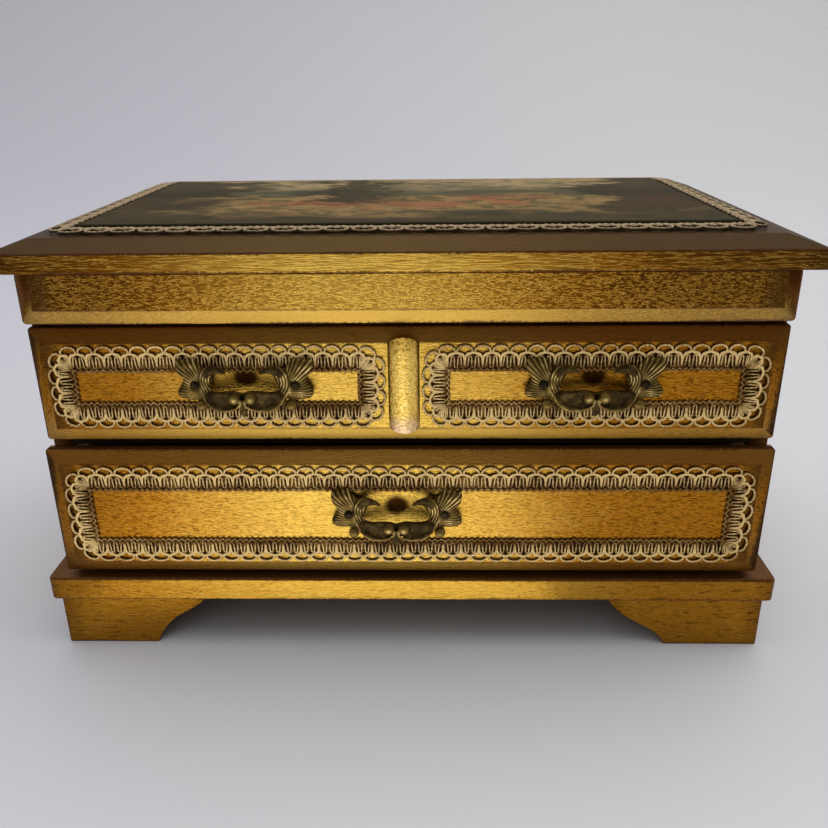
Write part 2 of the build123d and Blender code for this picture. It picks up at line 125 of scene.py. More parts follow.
class Slot(Enum):
    """The record's material slots."""

    GILT = "gilt_wood"
    PICTURE = "picture"
    LACE = "lace"
    VELVET = "velvet"
    PULL = "pull_brass"


class Val:
    """A shader value: an output socket whose operators add Math nodes to its graph."""

    def __init__(self, graph: "Graph", socket: Socket) -> None:
        """Wraps an output socket of a graph."""
        self.graph = graph
        self.socket = socket

    def __add__(self, other: "Val | float") -> "Val":
        """Adds another value."""
        return self.graph.math("ADD", self, other)

    __radd__ = __add__

    def __sub__(self, other: "Val | float") -> "Val":
        """Takes another value away."""
        return self.graph.math("SUBTRACT", self, other)

    def __rsub__(self, other: float) -> "Val":
        """Takes this value away from a number."""
        return self.graph.math("SUBTRACT", other, self)

    def __mul__(self, other: "Val | float") -> "Val":
        """Multiplies by another value."""
        return self.graph.math("MULTIPLY", self, other)

    __rmul__ = __mul__

    def __abs__(self) -> "Val":
        """Drops the sign."""
        return self.graph.math("ABSOLUTE", self)

    def low(self, other: "Val | float") -> "Val":
        """Keeps the smaller of two values."""
        return self.graph.math("MINIMUM", self, other)

    def high(self, other: "Val | float") -> "Val":
        """Keeps the larger of two values."""
        return self.graph.math("MAXIMUM", self, other)

    def wave(self) -> "Val":
        """Takes the sine."""
        return self.graph.math("SINE", self)

    @property
    def swing(self) -> "Val":
        """The swing of a noise about its middle."""
        return self - 0.5

    def clip(self) -> "Val":
        """Limits the value to the range from 0 to 1."""
        return self.low(1.0).high(0.0)

    def step(self, start: float, end: float) -> "Val":
        """Rises smoothly from 0 at start to 1 at end.

        Args:
            start: The value up to which the result is 0.
            end: The value from which it is 1.

        Returns:
            The result.
        """
        sockets = {"Value": self, "From Min": start, "From Max": end}
        settings = {"interpolation_type": "SMOOTHSTEP"}
        return Val(self.graph, self.graph.node("ShaderNodeMapRange", settings, sockets).outputs[0])


Input = Val | Socket | float | Sequence[float]


class Graph:
    """The node tree of a material or of the world."""

    def __init__(self, owner: bpy.types.Material | bpy.types.World) -> None:
        """Takes over the owner's node tree and empties it.

        Args:
            owner: The material or the world.
        """
        self.owner = owner
        owner.use_nodes = True
        self.tree = owner.node_tree
        self.tree.nodes.clear()

    def node(
        self,
        kind: str,
        settings: Mapping[str, object] | None = None,
        inputs: Mapping[str | int, Input] | None = None,
    ) -> bpy.types.Node:
        """Adds a node.

        Args:
            kind: The node's type.
            settings: The node's own properties, set first.
            inputs: Values or links for its sockets, by name or number.

        Returns:
            The new node.
        """
        made = self.tree.nodes.new(kind)
        for key, value in (settings or {}).items():
            setattr(made, key, value)
        for key, value in (inputs or {}).items():
            socket = made.inputs[key]
            if isinstance(value, Val):
                self.tree.links.new(value.socket, socket)
            elif isinstance(value, Socket):
                self.tree.links.new(value, socket)
            elif socket.type == "RGBA":
                socket.default_value = (*value, 1.0)
            else:
                socket.default_value = value
        return made

    def math(self, operation: str, *values: Val | float) -> Val:
        """Adds a Math node.

        Args:
            operation: The node's operation.
            *values: Its operands.

        Returns:
            The result.
        """
        made = self.node("ShaderNodeMath", {"operation": operation}, dict(enumerate(values)))
        return Val(self, made.outputs[0])

    def place(self) -> Socket:
        """Gives the object coordinates in millimetres.

        Returns:
            Their socket.
        """
        coords = self.node("ShaderNodeTexCoord").outputs["Object"]
        inputs = {"Vector": coords, "Scale": 1 / MM}
        return self.node("ShaderNodeVectorMath", {"operation": "SCALE"}, inputs).outputs[0]

    def axes(self, vector: Socket) -> tuple[Val, Val, Val]:
        """Splits a vector into its three values."""
        split = self.node("ShaderNodeSeparateXYZ", None, {0: vector})
        return tuple(Val(self, out) for out in split.outputs)

    def facing(self) -> tuple[Val, Val, Val]:
        """Gives the way that the surface faces in the object's own frame."""
        return self.axes(self.node("ShaderNodeTexCoord").outputs["Normal"])

    def stored(self, name: str) -> Val:
        """Reads a value stored on the mesh under that name."""
        made = self.node("ShaderNodeAttribute", {"attribute_name": name})
        return Val(self, made.outputs["Fac"])

    def noise(
        self,
        vector: Socket,
        stretch: Sequence[float],
        detail: float = 3.0,
        rough: float = 0.55,
        twist: float = 0.0,
    ) -> Val:
        """Adds a noise pattern.

        Args:
            vector: The coordinates in millimetres.
            stretch: Pattern cycles per millimetre along each axis.
            detail: The number of finer octaves.
            rough: The strength of the finer octaves.
            twist: The pattern's distortion.

        Returns:
            The noise, from 0 to 1.
        """
        scaled = self.node("ShaderNodeVectorMath", {"operation": "MULTIPLY"}, {0: vector, 1: stretch})
        inputs = {
            "Vector": scaled.outputs[0],
            "Scale": 1.0,
            "Detail": detail,
            "Roughness": rough,
            "Distortion": twist,
        }
        return Val(self, self.node("ShaderNodeTexNoise", None, inputs).outputs[0])

    def mix(self, factor: Val | float, first: Input, second: Input) -> Socket:
        """Mixes two colours.

        Args:
            factor: The share of the second colour.
            first: The colour at 0.
            second: The colour at 1.

        Returns:
            The mixed colour's socket.
        """
        inputs = {MIX_FACTOR: factor, MIX_FIRST: first, MIX_SECOND: second}
        return self.node("ShaderNodeMix", {"data_type": "RGBA"}, inputs).outputs[MIX_RESULT]

    def bump(self, height: Val, depth: float, under: Socket | None = None) -> Socket:
        """Adds a Bump node.

        Args:
            height: The relief, from 0 to 1.
            depth: The relief's depth in millimetres.
            under: A normal that the relief is laid over.

        Returns:
            The bumped normal.
        """
        inputs = {"Strength": 1.0, "Distance": depth * MM, "Height": height}
        if under is not None:
            inputs["Normal"] = under
        return self.node("ShaderNodeBump", None, inputs).outputs[0]

    def surface(self, **sockets: Input) -> bpy.types.Material:
        """Closes the graph with a Principled shader.

        Args:
            **sockets: Its inputs, with underscores for spaces.

        Returns:
            The finished material.
        """
        inputs = {key.replace("_", " "): value for key, value in sockets.items()}
        shader = self.node("ShaderNodeBsdfPrincipled", None, inputs)
        self.node("ShaderNodeOutputMaterial", None, {"Surface": shader.outputs[0]})
        return self.owner


@dataclass(frozen=True)
class BoardLines:
    """The lines of one board that its finish follows: its box, and its field's inset on each axis."""

    low: Vector
    high: Vector
    inset: tuple[float, float, float] = (0.0, 0.0, 0.0)

    @classmethod
    def of(cls, node: str) -> "BoardLines":
        """Reads the lines from a solid's box."""
        low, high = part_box(node)
        return cls(low / MM, high / MM)

    @property
    def mid(self) -> Vector:
        """The middle of the board."""
        return (self.low + self.high) / 2

    @property
    def half(self) -> Vector:
        """Half the board's size."""
        return (self.high - self.low) / 2


@dataclass(frozen=True)
class GiltPaint:
    """Gold paint on wood: crinkled along the grain, amber to the ends and worn at arrises, with painted light
    and shade.

    A scale is in pattern cycles per millimetre, and a pair of scales is along the grain and across it. A span
    is where a share starts and where it is full.
    """

    gold: Colour = (0.87, 0.54, 0.085)
    amber: Colour = (0.59, 0.212, 0.004)
    umber: Colour = (0.105, 0.042, 0.006)
    # Glaze on up-facing faces, which also paints their shade.
    glaze: Colour = (0.21, 0.072, 0.008)
    # Pale gold of the painted light on down-facing faces.
    pale: Colour = (0.97, 0.59, 0.085)
    # Colour of the painted glints on the crinkles' lines.
    painted_glint: Colour = (0.98, 0.66, 0.14)
    # Dark brown of the painted shade on side and top faces, of the painted pull reflections and of grime on
    # down-facing faces.
    shade_and_grime_brown: Colour = (0.050, 0.018, 0.003)
    bole: Colour = (0.13, 0.040, 0.010)
    chip: Colour = (0.70, 0.48, 0.25)
    grain: Axis = Axis.X
    brush_scales: Span = (0.035, 1.1)
    crinkles: Span = (0.42, 2.4)
    cloud_scale: Scale = (0.04, 0.04, 0.06)
    speck_scale: Scale = (0.8, 0.8, 0.8)
    speck_rag: float = 2.6
    cloud_rag: float = 2.2
    crinkle: float = 0.17
    brush_depth: float = 0.06
    line_level: float = 0.53
    line_dark: float = 0.6
    line_width: float = 0.06
    fleck: float = 0.5
    streaks: float = 0.6
    streak_tone: float = 0.8
    streak_dark: float = 0.3
    cloud_tone: float = 0.7
    end_reach: float = 120.0
    end_tone: float = 1.4
    end_dark: float = 0.25
    end_grime: float = 0.3
    field_end_dark: float = 0.7
    grime_reach: float = 9.0
    side_dark: float = 1.0
    side_shade_depth: float = 0.75
    under_painted_light: float = 0.85
    under_painted_shade: float = 0.0
    crest_dark: float = 0.0
    side_span: Span = (0.12, 0.35)
    up_span: Span = (0.1, 0.42)
    under_span: Span = (0.15, 0.4)
    crest_span: Span = (0.7, 0.95)
    painted_highlight_middle: float = -14.0
    tone: float = 0.06
    up_glaze_and_shade: float = 0.9
    speck_glaze: float = 0.3
    wear_width: float = 0.7
    arris_wear: float = 0.8
    rim_wear: float = 0.55
    shine: float = 0.27
    pale_foot: float = 0.0
    pull_reflection_size: Span = (5.2, 4.4)

    def material(self, name: str, lines: BoardLines, pull_reflections: Sequence[Vector] = ()) -> bpy.types.Material:
        """Builds the finish for one board.

        Args:
            name: The material's name.
            lines: The board's lines.
            pull_reflections: The middles of the painted dark reflections of the pulls on its front.

        Returns:
            The material.
        """
        g = Graph(bpy.data.materials.new(name))
        place = g.place()
        spots = g.axes(place)
        normal = g.facing()
        streak = g.noise(place, self.grain.stretch(*self.brush_scales), detail=4.0, rough=0.62)
        crack = g.noise(place, self.grain.stretch(*self.crinkles), detail=3.0, rough=0.6, twist=0.55)
        cloud = g.noise(place, self.cloud_scale, detail=3.0, rough=0.55)
        speck = g.noise(place, self.speck_scale, detail=4.0, rough=0.62)
        ragged = speck.swing * self.speck_rag + cloud.swing * self.cloud_rag
        brushed = streak.swing * self.streaks

        # Where a spot lies: how far in from the board's edges, how near its ends, and which way it faces.
        along = self.grain.value
        edge = [(lines.half[i] - abs(spots[i] - lines.mid[i])).high(0.0) for i in range(3)]
        arris = edge[0].low(edge[1]).high(edge[0].high(edge[1]).low(edge[2]))
        reach = lines.half[along]
        # Towards the ends, from a middle set where the light's highlight falls: the amber and brown there are
        # partly antique glaze and partly the painted falloff of that highlight.
        ends = abs(spots[along] - lines.mid[along] - self.painted_highlight_middle).step(reach - self.end_reach, reach)
        up = normal[2].step(*self.up_span)
        crest = normal[2].step(*self.crest_span)
        under = (0.0 - normal[2]).step(*self.under_span)
        aside = (abs(normal[0]) + ragged * 0.1).step(*self.side_span)

        # What it has met: wear at the arrises and grime at the ends; the field is also darker in a band
        # inside its ends, and each pull has a painted dark reflection above it.
        wear = (1.0 - (arris + ragged).step(0.1, self.wear_width)) * self.arris_wear
        grime = (1.0 - edge[along].step(1.0, self.grime_reach)) * self.end_grime
        insets = [edge[i] - inset for i, inset in enumerate(lines.inset) if inset]
        if insets:
            rim = insets[0].low(insets[1])
            wear = wear.high((1.0 - (abs(rim) + ragged * 0.5).step(0.02, 0.5)) * self.rim_wear)
            # The field is darker in a band inside its left and right ends.
            corner = (1.0 - insets[0].step(0.5, self.grime_reach)) * rim.step(-0.2, 0.2)
            grime = grime.high(corner * self.field_end_dark)
        smear = under * grime
        # Painted reflection: a dark patch on the field just above each pull's middle.
        for smudge_and_reflection in pull_reflections:
            across = (spots[0] - smudge_and_reflection.x) * (1.0 / self.pull_reflection_size[0])
            rise = (spots[2] - smudge_and_reflection.z) * (1.0 / self.pull_reflection_size[1])
            smear = smear.high(1.0 - (across * across + rise * rise + ragged * 0.05).step(0.25, 1.0))
        # Painted shade: dark brown on faces turned to the sides, such as bevel ends and the bead's flanks,
        # and on the fronts' top faces in the gaps.
        painted_shade = (aside * self.side_dark * self.side_shade_depth).high(crest * self.crest_dark)
        chips = (speck - 0.61).step(0.0, 0.05) * wear

        # How deep the paint's tone, its shades and its glaze are, where it is painted with shade, and where
        # painted glints stand for light caught by its crinkles.
        tone = self.tone + ends * self.end_tone + cloud.swing * self.cloud_tone + brushed * self.streak_tone
        lined = (crack - self.line_level).step(0.0, self.line_width) * self.line_dark
        furrow = lined + (brushed - 0.1).step(0.0, 0.2) * self.streak_dark
        shade = (ends * self.end_dark + aside * self.side_dark + grime + furrow * (0.6 + ends * 0.4)).clip()
        # Up-facing faces take glaze that is partly a real glaze and partly painted shade; dark specks add
        # more glaze.
        top = (up * self.up_glaze_and_shade + (speck - 0.62).step(0.0, 0.1) * self.speck_glaze).clip()
        # Painted glints: thin bright lines beside the crinkles, left out where the paint is glazed, grimy or
        # in a painted pull reflection, and fading towards the ends.
        thread = 1.0 - abs(crack - self.line_level + self.line_width).step(0.01, 0.04)
        light = thread * (1.0 - top.high(grime).high(smear)) * (1.0 - ends * 0.6)
        # Painted light: down-facing faces are painted paler for the light they catch from the floor, and made
        # rougher and less metallic.
        lit = under * self.under_painted_light

        # The coats, from the first to the last, with the painted light, shade and reflections laid in among
        # them.
        colour = g.mix(tone.clip(), self.gold, self.amber)
        colour = g.mix(shade, colour, self.umber)
        colour = g.mix(light * self.fleck, colour, self.painted_glint)
        colour = g.mix(lit * (1.0 - ends * 0.65), colour, self.pale)
        # Painted shade: umber on down-facing faces, for the shade under things.
        colour = g.mix(under * self.under_painted_shade, colour, self.umber)
        colour = g.mix(top, colour, self.glaze)
        colour = g.mix(painted_shade.high(smear), colour, self.shade_and_grime_brown)
        colour = g.mix(wear, colour, self.bole)
        colour = g.mix(chips, colour, self.chip)
        if self.pale_foot:
            worn = 1.0 - (spots[2] - lines.low.z + ragged * 2.0).step(0.0, self.pale_foot)
            colour = g.mix(worn * (0.95 - furrow * 0.7), colour, self.chip)
        matt = top.high(wear)
        rough = (self.shine + brushed * 0.16 + matt * 0.16 + shade * 0.06 + lit * 0.12 + painted_shade * 0.4).clip()
        metal = 1.0 - matt * 0.2 - lit * 0.6
        relief = g.bump(crack, self.crinkle, g.bump(brushed, self.brush_depth))
        return g.surface(Base_Color=colour, Metallic=metal, Roughness=rough, Normal=relief)


@dataclass(frozen=True)
class BareWood:
    """Plain pale wood with a fine open grain, used inside."""

    pale: Colour = (0.50, 0.34, 0.18)
    deep: Colour = (0.30, 0.17, 0.075)
    grain: Axis = Axis.X
    figure_scales: Span = (0.012, 0.22)
    pore_scales: Span = (0.05, 3.0)
    rings: float = 46.0
    pore_depth: float = 0.08

    def material(self, name: str) -> bpy.types.Material:
        """Builds the finish.

        Args:
            name: The material's name.

        Returns:
            The material.
        """
        g = Graph(bpy.data.materials.new(name))
        place = g.place()
        figure = g.noise(place, self.grain.stretch(*self.figure_scales), detail=3.0, rough=0.5, twist=0.6)
        pores = g.noise(place, self.grain.stretch(*self.pore_scales), detail=3.0, rough=0.6)
        rings = ((figure * self.rings).wave() * 0.5 + 0.5) * 0.6 + (pores - 0.3) * 0.5
        colour = g.mix(rings.clip(), self.pale, self.deep)
        relief = g.bump(pores, self.pore_depth)
        return g.surface(Base_Color=colour, Roughness=0.55 + pores * 0.2, Normal=relief)


@dataclass(frozen=True)
class BraidFinish:
    """Cream and gold cord coloured by height: brown glaze in its hollows and cream on its crowns, which also
    paint the shade and highlight of a lit cord.
    """

    hollow: Colour = (0.050, 0.019, 0.004)
    ground: Colour = (0.34, 0.17, 0.022)
    flank: Colour = (0.20, 0.092, 0.016)
    crown: Colour = (0.97, 0.70, 0.30)
    metallic: float = 0.4
    fibre: float = 4.5
    nap: float = 0.08
    flank_span: Span = (0.2, 0.5)
    crown_span: Span = (0.60, 0.90)

    def material(self, name: str, axis: Axis, ground: float, rise: float) -> bpy.types.Material:
        """Builds the finish.

        Args:
            name: The material's name.
            axis: The axis that the braid stands up along.
            ground: The face that it lies on, in millimetres.
            rise: The signed height of its crowns above that face.

        Returns:
            The material.
        """
        g = Graph(bpy.data.materials.new(name))
        place = g.place()
        height = (g.axes(place)[axis.value] - ground) * (1.0 / rise)
        fleck = g.noise(place, (1.3, 1.3, 1.3), detail=3.0, rough=0.6)
        patch = g.noise(place, (0.06, 0.06, 0.06), detail=2.0, rough=0.5)
        # Colour by height: darker hollows and flanks and cream crowns, partly glaze and wiped paint, partly
        # painted shade and highlight.
        level = height + fleck.swing * 0.3 + patch.swing * 0.35
        colour = g.mix((fleck.swing + patch.swing * 0.6).step(0.0, 0.12), self.hollow, self.ground)
        colour = g.mix(level.step(*self.flank_span), colour, self.flank)
        colour = g.mix(level.step(*self.crown_span), colour, self.crown)
        fibre = g.noise(place, (self.fibre,) * 3, detail=2.0, rough=0.5)
        return g.surface(
            Base_Color=colour,
            Metallic=self.metallic,
            Roughness=0.42 + fibre * 0.2,
            Specular_IOR_Level=0.2,
            Normal=g.bump(fibre, self.nap),
        )


@dataclass(frozen=True)
class CastBrass:
    """Brass with a dark patina that is worn bright on its ridges; on the pulls, painted glints brighten the
    balls.
    """

    patina: Colour = (0.032, 0.019, 0.005)
    body: Colour = (0.26, 0.165, 0.040)
    bright: Colour = (0.95, 0.70, 0.27)
    ridged: bool = False
    body_span: Span = (0.05, 0.5)
    bright_span: Span = (0.55, 1.0)
    grit_depth: float = 0.05

    def material(self, name: str) -> bpy.types.Material:
        """Builds the finish.

        Args:
            name: The material's name.

        Returns:
            The material.
        """
        g = Graph(bpy.data.materials.new(name))
        place = g.place()
        cloud = g.noise(place, (0.35, 0.35, 0.35), detail=3.0, rough=0.6)
        grit = g.noise(place, (3.0, 3.0, 3.0), detail=3.0, rough=0.6)
        # On the pulls the stored ridge value also holds the painted glints on the balls.
        ridge = g.stored("ridge") if self.ridged else cloud
        rubbed_and_glint = (ridge + cloud.swing * 0.5 + grit.swing * 0.25).clip()
        colour = g.mix(rubbed_and_glint.step(*self.body_span), self.patina, self.body)
        colour = g.mix(rubbed_and_glint.step(*self.bright_span), colour, self.bright)
        rough = 0.5 - rubbed_and_glint * 0.2 + grit.swing * 0.2
        relief = g.bump(grit, self.grit_depth)
        return g.surface(
            Base_Color=colour, Metallic=0.75, Roughness=rough, Specular_IOR_Level=0.2, Normal=relief
        )


@dataclass(frozen=True)
class PaintedPanel:
    """A varnished oil landscape of the plain kind: sky, far hills, meadow and dark trees in brush strokes.

    Places on the panel run from -1 to 1 each way.
    """

    sky: Colour = (0.33, 0.235, 0.115)
    cloud: Colour = (0.125, 0.105, 0.050)
    hill: Colour = (0.075, 0.066, 0.032)
    meadow: Colour = (0.25, 0.155, 0.055)
    moss: Colour = (0.080, 0.064, 0.024)
    russet: Colour = (0.27, 0.095, 0.038)
    shade: Colour = (0.030, 0.023, 0.010)
    hill_line: Span = (0.30, 0.50)
    meadow_line: Span = (-0.02, 0.16)
    near_line: Span = (-0.85, -0.5)
    grove_side: float = 0.62
    trunk_place: float = -0.22
    bush_rise: float = -0.12
    dark_edge: Span = (0.2, 2.2)
    stroke_depth: float = 0.06
    crackle_depth: float = 0.04

    def material(self, name: str, lines: BoardLines) -> bpy.types.Material:
        """Builds the picture for a panel that is read from the front.

        Args:
            name: The material's name.
            lines: The panel's lines.

        Returns:
            The material.
        """
        g = Graph(bpy.data.materials.new(name))
        place = g.place()
        x, y, z = g.axes(place)
        daub = g.noise(place, (0.11, 0.16, 0.1), detail=4.0, rough=0.6, twist=0.8)
        drift = g.noise(place, (0.030, 0.055, 0.1), detail=3.0, rough=0.55)
        stroke = g.noise(place, (0.35, 1.1, 0.5), detail=3.0, rough=0.6, twist=0.4)
        across = (x - lines.mid.x) * (1.0 / lines.half.x) + daub.swing * 0.25
        rise = (y - lines.mid.y) * (1.0 / lines.half.y) + drift.swing * 0.8 + daub.swing * 0.25

        # The far parts come first, then the nearer ones over them.
        colour = g.mix((daub.swing + drift.swing).step(-0.15, 0.2), self.sky, self.cloud)
        colour = g.mix(1.0 - rise.step(*self.hill_line), colour, self.hill)
        ground = g.mix(daub.step(0.40, 0.62), self.meadow, self.moss)
        colour = g.mix(1.0 - rise.step(*self.meadow_line), colour, ground)
        bushes = (drift - 0.53).step(0.0, 0.06) * (1.0 - abs(rise - self.bush_rise).step(0.12, 0.42))
        colour = g.mix(bushes * 0.8, colour, self.russet)
        grove = (abs(across) - self.grove_side + drift.swing * 1.3).step(-0.04, 0.16)
        trunk = 1.0 - abs(across - self.trunk_place + daub.swing * 0.6).step(0.05, 0.20)
        trees = grove.high(trunk * rise.step(-0.35, -0.1))
        near = 1.0 - rise.step(*self.near_line)
        colour = g.mix(trees.high(near) * 0.9, colour, self.shade)
        colour = g.mix(stroke.swing.step(0.0, 0.25) * 0.35, colour, self.moss)

        # The panel's border is painted dark, and its side faces are darkened as painted shade.
        edge = (lines.half.x - abs(x - lines.mid.x)).low(lines.half.y - abs(y - lines.mid.y))
        side = 1.0 - z.step(lines.high.z - 0.9, lines.high.z - 0.3)
        colour = g.mix((1.0 - edge.step(*self.dark_edge)).high(side), colour, self.shade)
        crackle = g.noise(place, (1.2, 1.2, 1.2), detail=4.0, rough=0.7)
        relief = g.bump(crackle, self.crackle_depth, g.bump(stroke, self.stroke_depth))
        rough = 0.6 + stroke * 0.2
        return g.surface(Base_Color=colour, Roughness=rough, Specular_IOR_Level=0.1, Normal=relief)


@dataclass(frozen=True)
class Velvet:
    """Short-pile velvet with brushed light and dark patches."""

    pile: Colour = (0.20, 0.014, 0.026)
    brushed: Colour = (0.36, 0.040, 0.058)
    pile_depth: float = 0.15

    def material(self, name: str) -> bpy.types.Material:
        """Builds the finish.

        Args:
            name: The material's name.

        Returns:
            The material.
        """
        g = Graph(bpy.data.materials.new(name))
        place = g.place()
        brush = g.noise(place, (0.05, 0.035, 0.05), detail=3.0, rough=0.6, twist=0.5)
        fibre = g.noise(place, (3.5, 3.5, 3.5), detail=2.0, rough=0.6)
        colour = g.mix((brush - 0.35 + fibre.swing * 0.5).step(0.0, 0.4), self.pile, self.brushed)
        relief = g.bump(fibre, self.pile_depth)
        return g.surface(
            Base_Color=colour, Roughness=0.85, Sheen_Weight=0.6, Sheen_Roughness=0.4, Normal=relief
        )


@dataclass(frozen=True)
class SilveredGlass:
    """Old mirror glass, faintly smudged."""

    silver: Colour = (0.82, 0.84, 0.84)
    grey: Colour = (0.66, 0.68, 0.67)

    def material(self, name: str) -> bpy.types.Material:
        """Builds the finish.

        Args:
            name: The material's name.

        Returns:
            The material.
        """
        g = Graph(bpy.data.materials.new(name))
        place = g.place()
        smudge_and_reflection = g.noise(place, (0.05, 0.05, 0.05), detail=4.0, rough=0.6, twist=0.5)
        colour = g.mix(smudge_and_reflection.step(0.45, 0.8), self.silver, self.grey)
        return g.surface(Base_Color=colour, Metallic=1.0, Roughness=0.02 + smudge_and_reflection.step(0.5, 0.8) * 0.08)


@dataclass(frozen=True)
class PalePaper:
    """The pale paper sweep that the chest stands on, a little cooler and darker to the left, as painted shade
    for light that comes from the right.
    """

    cool_shaded_left: Colour = (0.60, 0.595, 0.645)
    warm: Colour = (0.66, 0.66, 0.665)
    turn: Span = (-500.0, 500.0)

    def material(self, name: str) -> bpy.types.Material:
        """Builds the finish.

        Args:
            name: The material's name.

        Returns:
            The material.
        """
        g = Graph(bpy.data.materials.new(name))
        across = g.axes(g.place())[0]
        return g.surface(Base_Color=g.mix(across.step(*self.turn), self.cool_shaded_left, self.warm), Roughness=0.55)


TRAY_GILT = GiltPaint(
    painted_glint=(1.0, 0.69, 0.14),
    crinkles=(0.75, 2.6),
    crinkle=0.2,
    line_level=0.49,
    fleck=1.0,
    end_dark=0.65,
    side_dark=0.0,
    tone=0.3,
)
UPPER_GILT = GiltPaint(crest_dark=0.9)
LOWER_GILT = GiltPaint(glaze=(0.34, 0.145, 0.022), under_painted_light=0.1, under_painted_shade=0.6, crest_dark=0.9)
PLINTH_GILT = GiltPaint(
    gold=(0.75, 0.45, 0.06),
    amber=(0.50, 0.21, 0.010),
    glaze=(0.22, 0.095, 0.02),
    crinkles=(0.25, 1.3),
    line_level=0.57,
    line_dark=0.4,
    fleck=0.3,
    streaks=0.35,
    end_tone=0.9,
    end_dark=0.35,
    side_dark=0.1,
    under_painted_light=0.0,
    under_painted_shade=0.8,
    tone=0.25,
    wear_width=1.1,
)
LID_GILT = GiltPaint(
    painted_glint=(1.0, 0.70, 0.15),
    glaze=(0.115, 0.062, 0.018),
    crinkles=(0.16, 2.2),
    line_level=0.50,
    line_dark=0.3,
    fleck=0.9,
    streaks=0.3,
    end_dark=0.8,
    side_dark=0.15,
    tone=0.2,
)
BEAD_GILT = GiltPaint(
    gold=(1.0, 0.63, 0.10),
    chip=(1.0, 0.68, 0.38),
    grain=Axis.Z,
    painted_glint=(1.0, 0.82, 0.30),
    crinkles=(0.9, 1.1),
    crinkle=0.25,
    line_level=0.55,
    line_dark=0.5,
    fleck=0.9,
    streaks=0.2,
    end_reach=9.0,
    end_tone=0.3,
    end_dark=0.1,
    side_span=(0.66, 0.90),
    painted_highlight_middle=0.0,
    tone=-0.15,
    up_glaze_and_shade=0.1,
    wear_width=0.12,
    shine=0.24,
    pale_foot=8.0,
)
SIDE_GILT = GiltPaint(
    grain=Axis.Y, end_reach=60.0, end_tone=0.5, end_grime=1.0, side_dark=0.0, painted_highlight_middle=0.0, tone=0.25
)
BACK_GILT = GiltPaint(painted_highlight_middle=0.0, tone=0.35)
MIRROR_GILT = GiltPaint(end_tone=0.2, side_dark=0.0, painted_highlight_middle=0.0, up_glaze_and_shade=0.2)
STAINED_WOOD = BareWood(pale=(0.030, 0.017, 0.008), deep=(0.014, 0.008, 0.004))
CREAM_CORD = BraidFinish()
TAUPE_CORD = BraidFinish(
    hollow=(0.022, 0.013, 0.006),
    ground=(0.075, 0.045, 0.018),
    flank=(0.090, 0.056, 0.026),
    crown=(0.42, 0.31, 0.18),
    metallic=0.2,
    fibre=2.2,
    nap=0.3,
)
PULL_BRASS = CastBrass(ridged=True)
HINGE_BRASS = CastBrass(patina=(0.20, 0.13, 0.045), body=(0.52, 0.37, 0.14), bright=(0.75, 0.58, 0.28))
NAIL_BRASS = CastBrass(patina=(0.006, 0.004, 0.002), body=(0.03, 0.02, 0.008), bright=(0.12, 0.085, 0.035))


def of_kind(geometry: Iterable[object], kind: type) -> list:
    """Picks the vertices or the edges out of an operator's result."""
    return [item for item in geometry if isinstance(item, kind)]


def ramp(value: float, start: float, end: float) -> float:
    """Rises evenly from 0 at start to 1 at end."""
    return max(0.0, min(1.0, (value - start) / (end - start)))


